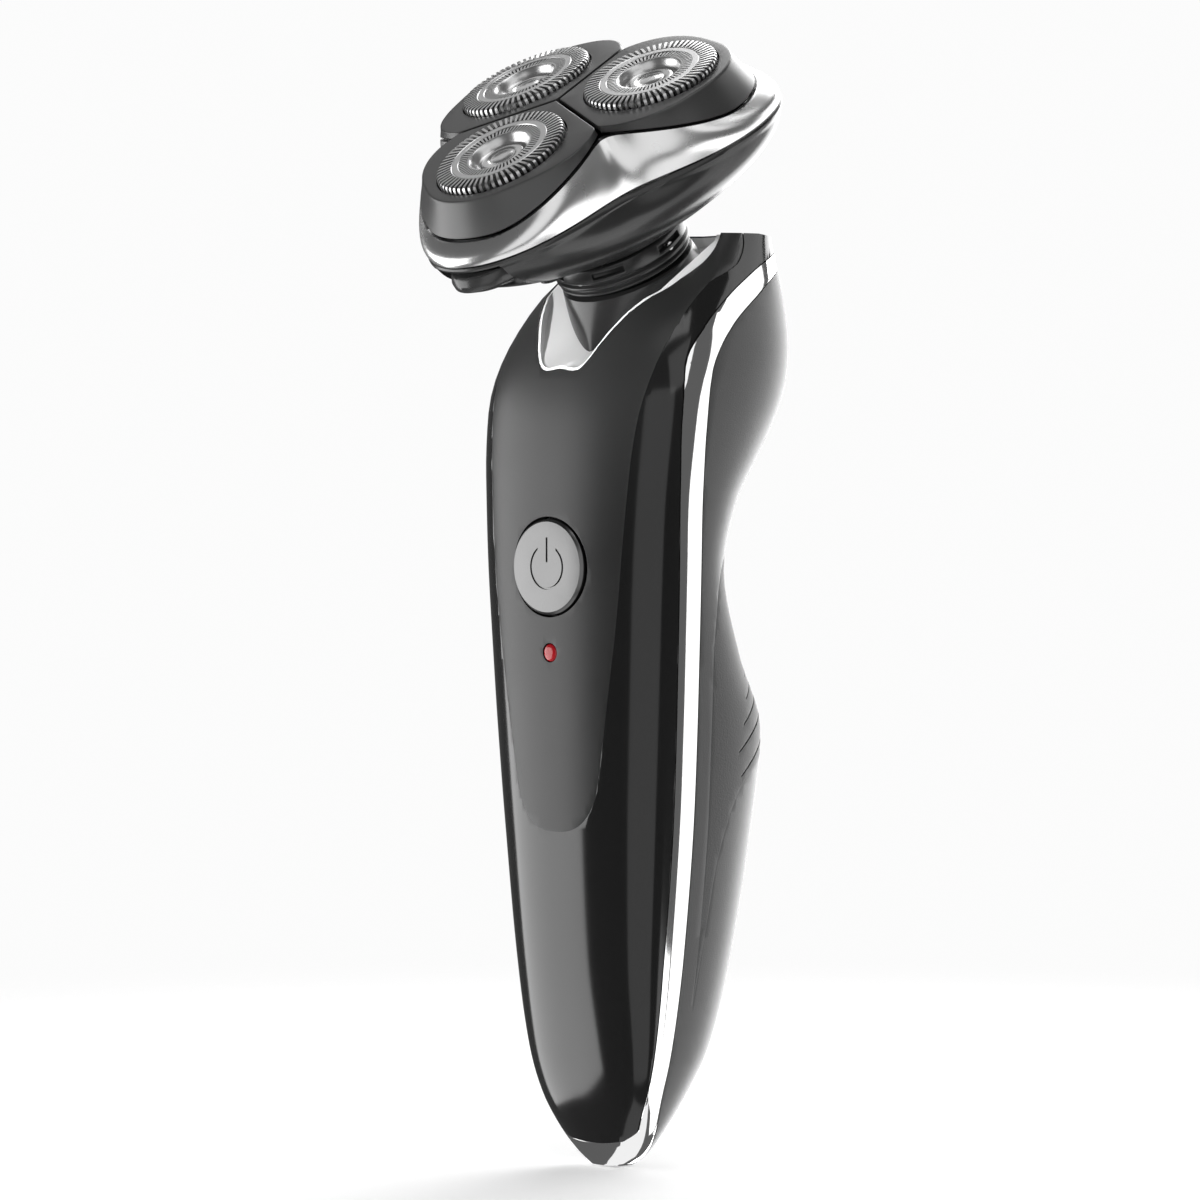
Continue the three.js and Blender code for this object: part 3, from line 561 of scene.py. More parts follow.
GUARD_STEEL = turned_on_seats("guard steel", grey(0.66), 0.30, 2600.0, 0.002)
CUTTER_STEEL = turned_on_seats("cutter steel", grey(0.22), 0.30, 1500.0, 0.006)
DISC_CHROME = turned_on_seats("disc bright steel", grey(0.74), 0.22, 900.0, 0.001)

NODE_FINISHES = {
    "satin_black": HEAD_BLACK, "gloss_black": GLOSS_BLACK, "soft_grey": SOFT_GREY,
    "grip_rubber": GRIP_BLACK, "chrome": CHROME, "cutter_steel": STEEL, "button_silver": SILVER,
    "gear_white": GEAR_WHITE, "board_green": BOARD_GREEN, "brass": BRASS, "cell_wrap": CELL_WRAP,
    "light_red": LIGHT_RED,
}
for subpart in frame["record"]["subparts"]:
    node = frame["nodes"][subpart["node"]]
    node.data.materials.clear()
    node.data.materials.append(NODE_FINISHES[subpart["material_slot"]])

# ---------------------------------------------------------------- handle shells


def handle_body(name, inset, count, levels):
    """The handle's outside, or the same body pulled in by inset."""
    bottom = inset * 1.2
    top = HANDLE_TOP - inset
    rings = []
    for level in range(levels + 1):
        z = bottom + (top - bottom) * (level / levels) ** 1.4
        half, front, middle, rear = section_at(z)
        ring = []
        for a in turns(count):
            c, s = math.cos(a), math.sin(a)
            front_half, rear_half = (middle - front, FRONT_POWER), (rear - middle, REAR_POWER)
            reach, exponent = front_half if s < 0 else rear_half
            ring.append(((half - inset) * signed_power(c, exponent),
                         middle + (reach - inset) * signed_power(s, exponent), z))
        rings.append(ring)
    return raise_rings(name, rings)


def brow_prism(drop):
    """Everything above the handle's top edge, lowered by drop."""
    return side_prism("brow", [(y, z - drop) for y, z in BROW])


def opening_prism(offset, bottom, top, samples=40):
    """Opening for the deck, grown by offset, along the head's axis."""
    right = []
    for x, y in smooth_line(DECK_OPENING, samples):
        across = x / OPENING_HALF_WIDTH
        along = (y - OPENING_MIDDLE) / OPENING_HALF_LENGTH
        share = offset / math.hypot(across, along)
        right.append((x + share * across, y + share * along))
    front, rear = (0, right[0][1]), (0, right[-1][1])
    outline = [front] + right[1:-1] + [rear] + [(-x, y) for x, y in right[-2:0:-1]]
    return drawn_prism("opening", [(x, y, bottom) for x, y in outline], (0, 0, top - bottom), HEAD)


def trim_prism(extra):
    """Band along the trim's centre line, widened by extra on each side."""
    steps = TRIM_STEPS
    line = smooth_line(TRIM_LINE, steps)
    left, right = [], []
    for i, (y, z) in enumerate(line):
        y0, z0 = line[max(i - 1, 0)]
        y1, z1 = line[min(i + 1, steps)]
        length = math.hypot(y1 - y0, z1 - z0)
        ty, tz = (y1 - y0) / length, (z1 - z0) / length
        place = i / steps * (len(TRIM_HALF_WIDTHS) - 1)
        low = min(int(place), len(TRIM_HALF_WIDTHS) - 2)
        half = lerp(TRIM_HALF_WIDTHS[low], TRIM_HALF_WIDTHS[low + 1], place - low) + extra
        left.append((y - tz * half, z + ty * half))
        right.append((y + tz * half, z - ty * half))
    hoop = side_prism("trim", right + left[::-1])
    return weld(hoop, side_prism("toe", grown(TRIM_TOE, extra)))


def front_of_trim():
    line = smooth_line(TRIM_LINE, TRIM_STEPS)
    return side_prism("front of trim", [(-60, -10)] + line + [(36, 160), (-60, 160)])


def tongue_prism(offset):
    """The panel's outline in front view, carried on above the handle."""
    right = smooth_line(TONGUE, 84) + [(TONGUE[-1][0], 150)]
    outline = right + [(-x, z) for x, z in right[:0:-1]]
    return front_prism("tongue", grown(outline, offset), 12, -40)


def panel_region(offset):
    """What belongs to the front panel: its tongue and the rim round the deck's opening."""
    return weld(tongue_prism(offset), opening_prism(RIM_WIDTH + offset, -40, -10))


def grip_prism(offset):
    return side_prism("grip", grown(smooth_line(GRIP_OUTLINE, 104) + [GRIP_TAIL], offset))


def forward_disc(name, radius, z, rear, front, count=96):
    """Disc lying in the XZ plane, from rear to front."""
    place = Matrix.Translation((0, rear, z)) @ Matrix.Rotation(math.pi / 2, 4, "X")
    return turned(name, [(radius, 0), (radius, rear - front)], count, place)


shell = handle_body("shell", 0.0, 128, 76)
cut(shell, brow_prism(0))
hollow = cut(handle_body("hollow", WALL, 48, 30), brow_prism(WALL))
cut(shell, hollow)
cut(shell, opening_prism(0, -38, -12))
cut(shell, box("socket mouth", (3.6, 2.2, 5), (0, 0.2, 1.0)))

trim = keep(duplicate(shell, "trim hoop"), trim_prism(-SEAM / 2))
beside = cut(shell, trim_prism(SEAM / 2))
panel_half = keep(duplicate(beside, "front half"), front_of_trim())
rear_half = cut(beside, front_of_trim())

panel = keep(duplicate(panel_half, "front panel"), panel_region(-SEAM / 2))
cut(panel, forward_disc("button well", BUTTON["radius"] + 0.35, BUTTON["z"], -8, -20))
cut(panel, forward_disc("light well", LIGHT["radius"] + 0.12, LIGHT["z"], -8, -20, 48))
gloss = cut(panel_half, panel_region(SEAM / 2))

grip = keep(duplicate(rear_half, "grip"), grip_prism(-SEAM / 2))
rear = cut(rear_half, grip_prism(SEAM / 2))

# Finger grooves: thin curved slots across the hump that stop short of the inner wall.
groove_core = handle_body("groove core", GROOVE_DEPTH, 96, 60)
for rear_end, middle, front_end in GRIP_GROOVES:
    path = smooth_line([rear_end, middle, front_end], GROOVE_STEPS)
    upper = [(y, z + GROOVE_HALF_WIDTH * math.cos(math.pi / 2 * i / GROOVE_STEPS))
             for i, (y, z) in enumerate(path)]
    lower = [(y, z - GROOVE_HALF_WIDTH) for y, z in path]
    groove = cut(side_prism("groove", upper + lower[::-1]), groove_core, keep_tool=True)
    cut(grip, groove)
bpy.data.objects.remove(groove_core, do_unlink=True)

for piece, width in ((panel, 0.14), (gloss, 0.14), (trim, 0.6), (rear, 0.16), (grip, 0.18)):
    finish_edges(piece, width, 3, 45.0, 40.0)
fit(rename(panel, "satin_front_panel"), "handle", "satin_black", SATIN_BLACK, "front_panel")
fit(rename(gloss, "gloss_side_shell"), "handle", "gloss_black", GLOSS_BLACK, "front_shell")
fit(rename(trim, "chrome_trim_hoop"), "handle", "chrome", CHROME, "chrome_trim")
fit(rename(rear, "soft_rear_shell"), "handle", "soft_grey", SOFT_GREY, "rear_shell")
fit(rename(grip, "grooved_grip_pad"), "handle", "grip_rubber", GRIP_BLACK, "grip_insert")

# ---------------------------------------------------------------- deck and neck


def saddle(x):
    """Height of the deck's floor, in the head's frame; it climbs to both sides."""
    return DECK_HEIGHT + DECK_RISE * (min(abs(x), 11.0) / 10) ** 1.6


def saddle_slab(name, below, above):
    """Slab between two offsets of the saddle surface, across the head's frame."""
    xs = [-22 + 44 * i / 60 for i in range(61)]
    upper = [(x, -35, saddle(x) + above) for x in xs]
    lower = [(x, -35, saddle(x) - below) for x in xs[::-1]]
    return drawn_prism(name, upper + lower, (0, 70, 0), HEAD)


# The deck is a tray: a floor on the saddle surface and a thin wall lining the opening.
deck_limit = cut(handle_body("deck limit", 0.3, 128, 76), brow_prism(0.3))
deck = keep(opening_prism(-0.08, -60, 0, 60), deck_limit)
cut(deck, saddle_slab("under deck", 60, -1.2))
scoop = keep(opening_prism(-0.6, -60, 5, 60), saddle_slab("over deck", 0, 60))
cut(deck, scoop)
cut(deck, turned("neck hole", [(8.0, -60), (8.0, 0)], 64, HEAD))
fit(rename(finish_edges(deck, 0.12), "saddle_deck"), "handle", "chrome", DECK_SILVER, "top_deck")


def neck_ring(t, count=128):
    """Round at the top (t = 1), drawn out to a four-pointed star at the foot."""
    z = NECK_FOOT + (NECK_TOP - NECK_FOOT) * t
    exponent = lerp(0.9, 2.0, t ** 0.6)
    side, prow = lerp(11.8, 10.2, t ** 0.5), lerp(14.8, 10.2, t ** 1.1)
    ring = []
    for a in turns(count):
        c, s = math.cos(a), math.sin(a)
        reach = (abs(c / side) ** exponent + abs(s / prow) ** exponent) ** (-1 / exponent)
        ring.append((reach * c, reach * s, z))
    return ring


neck = cut(raise_rings("prowed_neck", [neck_ring(i / 16) for i in range(17)], False, HEAD),
           saddle_slab("under saddle", 20, 0.1))
weld(neck, turned("stem", [(6.4, -38.2), (6.4, -30)], 64, HEAD),
     turned("stem top", [(5.6, -31), (5.6, -23.1)], 64, HEAD))
cut(neck, turned("shaft bore", [(3.1, -60), (3.1, 0)], 48, HEAD))
cut(neck, box("pin slot", (14, 2.6, 5.2), (0, 0, 0.5 - GIMBAL_DROP), HEAD))
fit(finish_edges(neck, 0.25, 3), "handle", "satin_black", NECK_BLACK, "neck")

# ---------------------------------------------------------------- button and light



def facing_front(y, z):
    """Frame on the handle's middle whose axis points forward."""
    return Matrix.Translation((0, y, z)) @ Matrix.Rotation(math.pi / 2, 4, "X")


button_place = facing_front(BUTTON["front"] + BUTTON["depth"], BUTTON["z"])
cap_profile = [(1.9, -0.5), (2.0, -0.4), (2.0, 0.0), (6.8, 0.0), (7.0, 0.2), (7.0, 1.6), (6.6, 2.0)]
button = turned("power_button_cap", cap_profile, 128, button_place)
ring_profile = [(3.0, 1.8), (3.3, 1.8), (3.3, 2.4), (3.0, 2.4)]
ring_mark = turned("ring mark", ring_profile, 96, button_place, True)
cut(ring_mark, box("ring gap", (3.6, 4, 2), (0, 3.0, 2), button_place))
cut(button, ring_mark)
cut(button, box("bar mark", (0.34, 3.6, 1.2), (0, 2.5, 2.4), button_place))
fit(finish_edges(button, 0.06, 2, smooth=14.0), "button", "button_silver", SILVER, "power_button")

seal_profile = [
    (5.8, -1.8), (7.3, -1.8), (7.3, -0.4), (7.25, -0.2), (7.1, -0.2), (7.05, -0.4), (7.05, -1.5),
    (5.8, -1.5),
]
seal = turned("button_seal_ring", seal_profile, 96, button_place, True)
fit(finish_edges(seal, 0.0), "handle", "grip_rubber", GRIP_BLACK, "button_seal")

light_place = facing_front(LIGHT["front"] + 3.6, LIGHT["z"])
light_profile = [(LIGHT["radius"], 0.0), (LIGHT["radius"], 3.3), (1.1, 3.5), (0.6, 3.58), (0.1, 3.6)]
light = turned("status_light_lens", light_profile, 48, light_place)
fit(finish_edges(light, 0.0, smooth=60.0), "handle", "light_red", LIGHT_RED, "status_light")

# ---------------------------------------------------------------- collar

COLLAR_PROFILE = [
    (8.6, -27.6), (9.9, -27.6), (10.2, -27.35), (10.2, -27.1), (9.7, -26.9), (9.7, -26.6),
    (10.45, -26.4), (10.45, -25.95), (9.8, -25.75), (9.8, -25.45), (10.5, -25.25), (10.5, -23.2),
    (10.2, -22.9), (8.6, -22.9),
]
collar = turned("ribbed_collar", COLLAR_PROFILE, 96, HEAD, True)
window_place = HEAD @ Matrix.Rotation(math.pi / 6, 4, "Z")
window = box("window", (5.0, 2.4, 1.0), (0, -10.6, -24.25), window_place)
cut(collar, repeat_around(window, 6, HEAD))
fit(finish_edges(collar, 0.07, 2), "gimbal", "satin_black", NECK_BLACK, "neck_collar")

# ---------------------------------------------------------------- head base

FLANGE_VALLEY = 19.9
FLANGE_SWELL = 11.1
# The bowl from its foot up: height, share of the flange's outline, radius of the round share.
BOWL = [
    (-22.4, 0.0, 11.2), (-21.6, 0.05, 12.4), (-19.2, 0.25, 16.5), (-15.6, 0.61, 21.5),
    (-12.6, 0.86, 26.0), (-10.3, 1.0, 30.0),
]


def from_lobe(c, s):
    """Angle from the nearest lobe's middle."""
    angle = math.atan2(c, -s)
    third = 2 * math.pi / 3
    return abs(angle - third * round(angle / third))


def swell_of(angle):
    """1 at a lobe's middle, flowing down to 0 in the valley between two lobes."""
    return (1 + math.cos(3 * angle)) / 2


def flange_reach(angle):
    return FLANGE_VALLEY + FLANGE_SWELL * swell_of(angle)


def bowl_ring(z, inset, extra=0.0, count=144):
    heights = [row[0] for row in BOWL]
    height = min(max(z - inset * 0.6, heights[0]), heights[-1])
    place = (len(BOWL) - 1) * 0.9999
    for i in range(len(BOWL) - 1):
        if heights[i] <= height <= heights[i + 1]:
            place = i + (height - heights[i]) / (heights[i + 1] - heights[i])
            break
    i = min(int(place), len(BOWL) - 2)
    share = lerp(BOWL[i][1], BOWL[i + 1][1], place - i)
    foot = lerp(BOWL[i][2], BOWL[i + 1][2], place - i)
    ring = []
    for a in turns(count):
        c, s = math.cos(a), math.sin(a)
        reach = (flange_reach(from_lobe(c, s)) - 0.3) * share + foot * (1 - share) - inset + extra
        ring.append((reach * c, reach * s, z))
    return ring


def eased(rings, rounds):
    """Averages neighbouring rings so a stack of them flows."""
    for _ in range(rounds):
        rings = [rings[0]] + [
            [tuple((a + 2 * b + c) / 4 for a, b, c in zip(p, q, r)) for p, q, r in zip(*trio)]
            for trio in zip(rings, rings[1:], rings[2:])] + [rings[-1]]
    return rings


outside_rings = eased([bowl_ring(-22.4 + 11.0 * i / 22, 0.0) for i in range(23)], 4)
outside_rings += [bowl_ring(-11.1, 0.0, 0.25), bowl_ring(-10.6, 0.0, 0.35), bowl_ring(-10.3, 0.0, 0.2)]
base = raise_rings("bowl_outside", outside_rings, False, HEAD)
inside_rings = [bowl_ring(-20.9 + 12 * i / 8, 1.5, 0.0, 96) for i in range(9)]
cut(base, raise_rings("bowl_inside", inside_rings, False, HEAD))
cut(base, turned("shaft passage", [(3.4, -30), (3.4, -10)], 48, HEAD))
for side in (-1, 1):
    lug = box("roll lug", (4.4, 1.2, 6.0), (0, side * 7.2, -24.0), HEAD)
    cut(lug, box("lug eye", (1.8, 4, 1.8), (0, side * 7.2, -GIMBAL_DROP), HEAD))
    weld(base, lug)
for lobe in LOBES:
    to_lobe = Matrix.Rotation(2 * math.pi * (lobe - 1) / 3, 4, "Z")
    spindle_place = HEAD @ to_lobe @ Matrix.Translation((0, -CUTTER_RING, 0))
    weld(base, turned("spindle post", [(2.0, -21.4), (2.0, -16.3)], 32, spindle_place))
    cut(base, turned("spindle hole", [(1.1, -20), (1.1, -10)], 24, spindle_place))
cut(base, box("latch well", (13.0, 9, 5.0), (0, -30, -13.4), HEAD))
hinge_place = (
    HEAD @ Matrix.Translation((0, HINGE_Y, PART_LINE)) @ Matrix.Rotation(math.pi / 2, 4, "Y"))
weld(base, box("hinge arm", (2.2, 5.6, 1.6), (0, HINGE_Y - 2.6, PART_LINE - 1.4), HEAD),
     turned("base knuckle", [(KNUCKLE, -1.1), (KNUCKLE, 1.1)], 32, hinge_place))
cut(base, turned("hinge bore", [(HINGE_BORE, -5), (HINGE_BORE, 5)], 24, hinge_place))
rename(finish_edges(base, 0.15, 2), "satin_head_bowl")
fit(base, "head", "satin_black", HEAD_BLACK, "head_base")


def latch_ring(z, reach, half):
    """Crescent across the front of the bowl."""
    outer = [(half * math.sin(a), -reach * math.cos(a) ** 0.6 - 18.8, z)
             for a in [math.radians(-88 + 176 * i / 24) for i in range(25)]]
    inner = [(half * math.sin(a) * 0.9, -24.6, z)
             for a in [math.radians(88 - 176 * i / 12) for i in range(13)]]
    return outer + inner


latch_rings = [
    latch_ring(-15.3, 9.4, 5.2), latch_ring(-15.0, 10.6, 5.8), latch_ring(-14.2, 12.2, 6.1),
    latch_ring(-13.2, 12.4, 6.15), latch_ring(-12.3, 12.0, 6.1), latch_ring(-12.0, 11.6, 6.0),
]
latch = raise_rings("thumb_latch", latch_rings, False, HEAD)
fit(finish_edges(latch, 0.15, 2), "latch", "satin_black", HEAD_BLACK, "release_latch")

# ---------------------------------------------------------------- petals

PETAL_TOP = -1.0
PETAL_BOTTOM = -6.6
FACE_REACH = 12.0
VALLEY_REACH = 15.0
PETAL_DRAFT = 2.2
PETAL_FOOT = 2.0
VALLEY_DISTANCE = CUTTER_RING * math.sin(math.pi / 3) - 0.36
PETAL_BORE = 10.35


def petal_drop(away):
    """How far a petal's lower edge lies below its face, by the angle from the lobe's outer middle."""
    return lerp(4.8, 0.9, smoothstep(away, math.radians(20), math.radians(108)))


def petal_reach(a, spread):
    """How far a petal reaches at an angle of its own frame; it ends straight along its neighbours."""
    c, s = math.cos(a), math.sin(a)
    away = abs(math.atan2(c, -s))
    side = smoothstep(away, math.radians(40), math.radians(105))
    outer = lerp(FACE_REACH + spread, VALLEY_REACH + 0.1 * spread, side)
    facing = math.cos(away - math.radians(150))
    return min(outer, VALLEY_DISTANCE / facing) if facing > 0.01 else outer


def petal_ring(spread_share, inset, height, grow=0.0, count=144):
    """One ring round a petal; height is a share of the way down its drafted side."""
    ring = []
    for a in turns(count):
        away = abs(math.atan2(math.cos(a), -math.sin(a)))
        reach = max(petal_reach(a, PETAL_DRAFT * spread_share) - inset, 11.3) + grow
        z = height(petal_drop(away))
        ring.append((reach * math.cos(a), reach * math.sin(a), z))
    return ring


def petal_body(name, place):
    rings = [petal_ring(1.0, PETAL_FOOT, lambda d: PETAL_BOTTOM)]
    rings.append(petal_ring(1.0, PETAL_FOOT, lambda d: PETAL_TOP - d - 0.4))
    rings.append(petal_ring(1.0, 0.15, lambda d: PETAL_TOP - d - 0.15))
    rings.append(petal_ring(1.0, 0.0, lambda d: PETAL_TOP - d))
    for share in (0.85, 0.7, 0.55, 0.4, 0.27, 0.16, 0.08):
        rings.append(petal_ring(share ** 1.15, 0.0, lambda d, share=share: PETAL_TOP - d * share))
    rings.append(petal_ring(0.02, 0.03, lambda d: PETAL_TOP - min(0.12, 0.05 * d)))
    rings.append(petal_ring(0.0, 0.14, lambda d: PETAL_TOP - 0.03))
    rings.append(petal_ring(0.0, 0.34, lambda d: PETAL_TOP))
    bore = [(PETAL_BORE * math.cos(a), PETAL_BORE * math.sin(a)) for a in turns(len(rings[0]))]
    rings += [[(x, y, z) for x, y in bore] for z in (PETAL_TOP, PETAL_BOTTOM)]
    return raise_rings(name, rings, True, place)


def petal_room(place):
    """The hollow that a petal floats in."""
    grow = 0.4
    rings = [petal_ring(1.0, PETAL_FOOT, lambda d: PETAL_BOTTOM - 2, grow, 96),
             petal_ring(1.0, PETAL_FOOT, lambda d: PETAL_TOP - d - 0.9, grow, 96),
             petal_ring(1.0, 0.0, lambda d: PETAL_TOP - d - 0.45, grow, 96),
             petal_ring(0.0, 0.0, lambda d: PETAL_TOP + 2.5, grow, 96)]
    return raise_rings("petal room", rings, False, place)


for lobe in LOBES:
    petal = finish_edges(petal_body(f"floating_petal_{lobe}", SEATS[lobe]), 0.0, smooth=42.0)
    fit(petal, f"petal_unit_{lobe}", "satin_black", PETAL_BLACK, f"petal_{lobe}")

# ---------------------------------------------------------------- chrome skirt


def petal_edge_line():
    """The petals' lower edge about the head's axis: angle from the lobe's middle, reach, height."""
    into_head = HEAD.inverted() @ SEATS[1]
    line = []
    for degree in range(0, 114, 2):
        away = math.radians(degree)
        reach = petal_reach(away - math.pi / 2, PETAL_DRAFT)
        edge = Vector((reach * math.sin(away), -reach * math.cos(away), PETAL_TOP - petal_drop(away)))
        x, y, z = into_head @ edge
        line.append((math.atan2(x, -y), math.hypot(x, y), z))
    return line


PETAL_EDGE = petal_edge_line()
SKIRT_MARGIN = 0.25              # the skirt's top edge stands this far outside the petals
SKIRT_BELOW = 0.5                # and this far below them
NOTCH_FILL = 1.1                 # extra reach where two petals meet, and its spread in degrees
NOTCH_SPREAD = 4.5
SKIRT_WALL = 1.3


def skirt_edge(angle):
    """Reach and height of the skirt's top edge, just below the petals' lower edge."""
    before, after = PETAL_EDGE[-2:]
    for before, after in zip(PETAL_EDGE, PETAL_EDGE[1:]):
        if angle <= after[0]:
            break
    t = min((angle - before[0]) / (after[0] - before[0]), 1.0)
    notch = math.exp(-((math.radians(60) - angle) / math.radians(NOTCH_SPREAD)) ** 2)
    reach = lerp(before[1], after[1], t) + SKIRT_MARGIN + NOTCH_FILL * notch
    return reach, lerp(before[2], after[2], t) - SKIRT_BELOW


def skirt_ring(t, inset, count=180):
    ring = []
    for a in turns(count):
        c, s = math.cos(a), math.sin(a)
        angle = from_lobe(c, s)
        edge, height = skirt_edge(angle)
        reach = lerp(flange_reach(angle), edge, t) + 0.9 * math.sin(math.pi * t) - inset
        ring.append((reach * c, reach * s, lerp(PART_LINE, height, t)))
    return ring


skirt_rings = [skirt_ring(i / 12, 0.0) for i in range(13)]
skirt_rings += [skirt_ring(i / 8, SKIRT_WALL) for i in range(8, -1, -1)]
skirt = raise_rings("chrome_head_skirt", skirt_rings, True, HEAD)
for lobe in LOBES:
    cut(skirt, petal_room(SEATS[lobe]))
for side in (-1, 1):
    low, high = sorted((side * 1.4, side * 3.4))
    weld(skirt, box("hinge arm", (2, 3.6, 1.5), (side * 2.4, HINGE_Y - 1.8, PART_LINE + 1.3), HEAD),
         turned("skirt knuckle", [(KNUCKLE, low), (KNUCKLE, high)], 32, hinge_place))
cut(skirt, turned("hinge bore", [(HINGE_BORE, -5), (HINGE_BORE, 5)], 24, hinge_place))
fit(finish_edges(skirt, 0.12, 2), "head_top", "chrome", SKIRT_CHROME, "chrome_skirt")

# ---------------------------------------------------------------- guards, discs and cutters

GUARD_SLOTS = 64
ROTOR_BLADES = 18
GUARD_PROFILE = [
    (9.65, -3.4), (10.1, -3.4), (10.1, -0.55), (10.03, -0.28), (9.85, -0.08), (9.6, 0.0),
    (7.6, 0.0), (7.5, -0.08), (7.42, -0.02), (6.58, -0.02), (6.5, -0.12), (4.98, -0.12),
    (4.8, -0.16), (4.6, -0.36), (4.4, -0.8), (4.1, -1.3), (3.85, -1.55), (3.6, -1.62), (3.6, -1.9),
    (4.2, -1.85), (4.75, -1.2), (5.0, -0.5), (9.4, -0.5), (9.65, -0.75),
]


def slot_cutter(name, inner, outer, narrow, wide, low, high, skew):
    """Tapered slot lying along a radius, leaning by skew."""
    lean = math.tan(math.radians(skew)) * (outer - inner) / 2
    outline = [(-narrow / 2 - lean, -inner, low), (narrow / 2 - lean, -inner, low),
               (wide / 2 + lean, -outer, low), (-wide / 2 + lean, -outer, low)]
    return drawn_prism(name, outline, (0, 0, high - low))


def seat_copies(master, name, carrier, slot, steel, node):
    """Sets a copy of the master on each lobe's seat, then removes the master."""
    for lobe in LOBES:
        piece = duplicate(master, f"{name}_{lobe}", SEATS[lobe])
        fit(piece, f"{carrier}_{lobe}", slot, steel[lobe], f"{node}_{lobe}")
    bpy.data.objects.remove(master, do_unlink=True)


level = Matrix.Identity(4)
guard_master = turned("guard master", GUARD_PROFILE, 160, level, True)
rim_slot = slot_cutter("rim slot", 7.62, 10.6, 0.40, 0.58, -1.35, 0.6, 9)
cut(guard_master, repeat_around(rim_slot, GUARD_SLOTS, level))
inner_slot = slot_cutter("inner slot", 5.05, 6.45, 0.22, 0.28, -0.8, 0.6, -8)
cut(guard_master, repeat_around(inner_slot, GUARD_SLOTS, level))
finish_edges(guard_master, 0.0, smooth=30.0)
seat_copies(guard_master, "slotted_guard", "petal_unit", "cutter_steel", GUARD_STEEL, "guard")

DISC_PROFILE = [
    (0.3, -2.0), (3.4, -2.0), (3.4, -1.35), (3.3, -1.2), (3.1, -1.14), (2.2, -1.12), (2.05, -1.22),
    (1.75, -1.26), (1.6, -1.18), (0.4, -1.16), (0.1, -1.16),
]
disc_master = turned("disc master", DISC_PROFILE, 96, level)
finish_edges(disc_master, 0.0, smooth=40.0)
seat_copies(disc_master, "centre_disc", "petal_unit", "chrome", DISC_CHROME, "guard_disc")

ROTOR_PROFILE = [
    (0.3, -5.6), (3.4, -5.6), (3.4, -4.4), (8.6, -4.4), (8.9, -3.2), (8.9, -1.5), (7.3, -1.5),
    (7.0, -2.8), (2.6, -3.2), (0.3, -3.2),
]
rotor_master = turned("rotor master", ROTOR_PROFILE, 96, level)
cut(rotor_master, box("drive socket", (3.2, 3.2, 2.2), (0, 0, -5.2)))
blade_gap = slot_cutter("blade gap", 7.0, 9.6, 1.6, 2.2, -3.4, 0, 35)
cut(rotor_master, repeat_around(blade_gap, ROTOR_BLADES, level))
finish_edges(rotor_master, 0.06, 2, smooth=30.0)
seat_copies(rotor_master, "bladed_rotor", "rotor", "cutter_steel", CUTTER_STEEL, "cutter")

# ---------------------------------------------------------------- studio

FLOOR_DROP = 0.4
FLOOR_RADIUS = 700.0
VIEW_AZIMUTH = math.radians(43)
VIEW_ELEVATION = math.radians(2)
toward_camera = Vector((math.sin(VIEW_AZIMUTH) * math.cos(VIEW_ELEVATION),
                        -math.cos(VIEW_AZIMUTH) * math.cos(VIEW_ELEVATION), math.sin(VIEW_ELEVATION)))
FLOOR_THICKNESS = 3.0
floor_profile = [(FLOOR_RADIUS, -FLOOR_DROP - FLOOR_THICKNESS), (FLOOR_RADIUS, -FLOOR_DROP)]
floor = turned("studio_floor", floor_profile, 96)
paper = Finish("pale floor paper")
reach = paper.length(paper.scaled(paper.place, (1.0, 1.0, 0.0)))
fade = paper.node("ShaderNodeMapRange", {"interpolation_type": "SMOOTHSTEP"}, {
    "Value": reach, "From Min": 40 * MM, "From Max": FLOOR_RADIUS * MM * 0.45,
    "To Min": 1.0, "To Max": 0.0}).outputs[0]
paper.set(Base_Color=paper.blend(paper.noise(8.0), grey(0.80), grey(0.83)), Roughness=0.9, Alpha=fade)
paper.set(Emission_Color=paper.blend(paper.noise(8.0), grey(0.9), grey(0.95)), Emission_Strength=0.35)
paper.bump(paper.noise(900.0, 2.0), 0.02 * MM)
floor.data.materials.append(paper.material)
floor.visible_glossy = False
floor.visible_shadow = False


def softbox(name, azimuth, elevation, distance, width, height, strength, aim=(0, 0, 95)):
    """Rectangular soft light at a bearing from the shaver: azimuth 0 is the button side, 90 is +X."""
    a, e = math.radians(azimuth), math.radians(elevation)
    aim_point = Vector(aim) * MM
    direction = Vector((math.sin(a) * math.cos(e), -math.cos(a) * math.cos(e), math.sin(e)))
    light = bpy.data.lights.new(name, "AREA")
    light.shape = "RECTANGLE"
    light.size = width * MM
    light.size_y = height * MM
    light.energy = strength * width * height * 1e-6 * math.pi
    lamp = bpy.data.objects.new(name, light)
    bpy.context.scene.collection.objects.link(lamp)
    lamp.location = aim_point + direction * distance * MM
    lamp.rotation_euler = (-direction).to_track_quat("-Z", "Y").to_euler()
    lamp.visible_camera = False
    return lamp


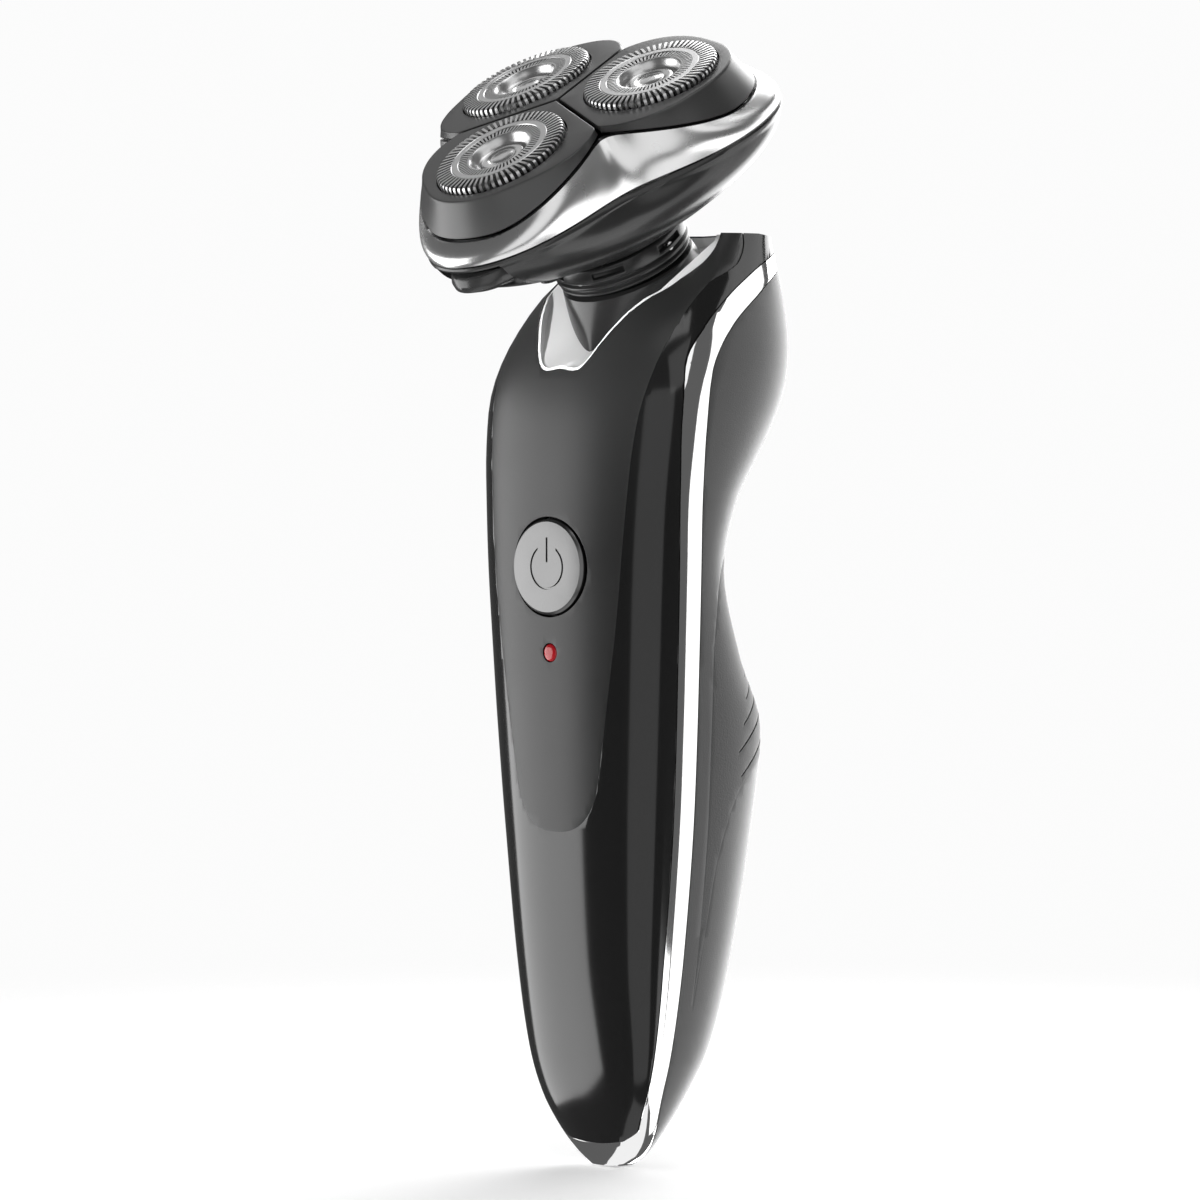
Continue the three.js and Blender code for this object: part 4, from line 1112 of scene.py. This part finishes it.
def spot(name, azimuth, elevation, distance, cone, energy, aim):
    """Narrow soft spot aimed at one place, too small to show as a reflection."""
    lamp = softbox(name, azimuth, elevation, distance, 40, 40, 0.0, aim)
    lamp.data.type = "SPOT"
    lamp.data.energy = energy
    lamp.data.spot_size = math.radians(cone)
    lamp.data.spot_blend = 0.8
    lamp.data.shadow_soft_size = 20 * MM
    lamp.visible_glossy = False
    return lamp


softbox("left softbox", -56, 0, 800, 850, 760, 3.6, (0, 0, -70))
softbox("front right softbox", 42, 0, 1000, 900, 1500, 0.8, (0, 0, -60))
softbox("low right softbox", 108, -34, 800, 520, 420, 1.8)
softbox("upper right softbox", 74, 40, 800, 460, 380, 1.0)
softbox("right softbox", 147, 0, 800, 500, 1500, 1.4, (0, 0, 0))
softbox("rear softbox", 192, 0, 800, 600, 1300, 4.5, (0, 0, 40))
softbox("top left softbox", -150, 42, 700, 420, 420, 3.4)
softbox("face softbox", -112, 44, 700, 360, 300, 0.5)
softbox("overhead softbox", 60, 75, 750, 500, 420, 2.0)
spot("deck spot", 10, -2, 500, 4.5, 30.0, (0, -6, 125))
softbox("under softbox", 60, -85, 750, 900, 900, 0.9, (0, 0, 60))

world = bpy.data.worlds.new("studio")
world.use_nodes = True
sky = world.node_tree
background = sky.nodes["Background"]
background.inputs["Color"].default_value = grey(1.0)
seen = sky.nodes.new("ShaderNodeLightPath").outputs["Is Camera Ray"]
level_of = sky.nodes.new("ShaderNodeMapRange")
for key, value in (("To Min", 0.12), ("To Max", 0.97)):
    level_of.inputs[key].default_value = value
sky.links.new(seen, level_of.inputs["Value"])
sky.links.new(level_of.outputs[0], background.inputs["Strength"])
bpy.context.scene.world = world
bpy.context.scene.view_settings.view_transform = "Standard"

camera_data = bpy.data.cameras.new("studio camera")
camera_data.sensor_width = 36.0
camera_data.lens = 171.4
camera_data.clip_end = 20.0
camera = bpy.data.objects.new("studio camera", camera_data)
bpy.context.scene.collection.objects.link(camera)
camera.location = (Vector((0, -2.5, 83.4)) + toward_camera * 840.0) * MM
camera.rotation_euler = toward_camera.to_track_quat("Z", "Y").to_euler()
bpy.context.scene.camera = camera
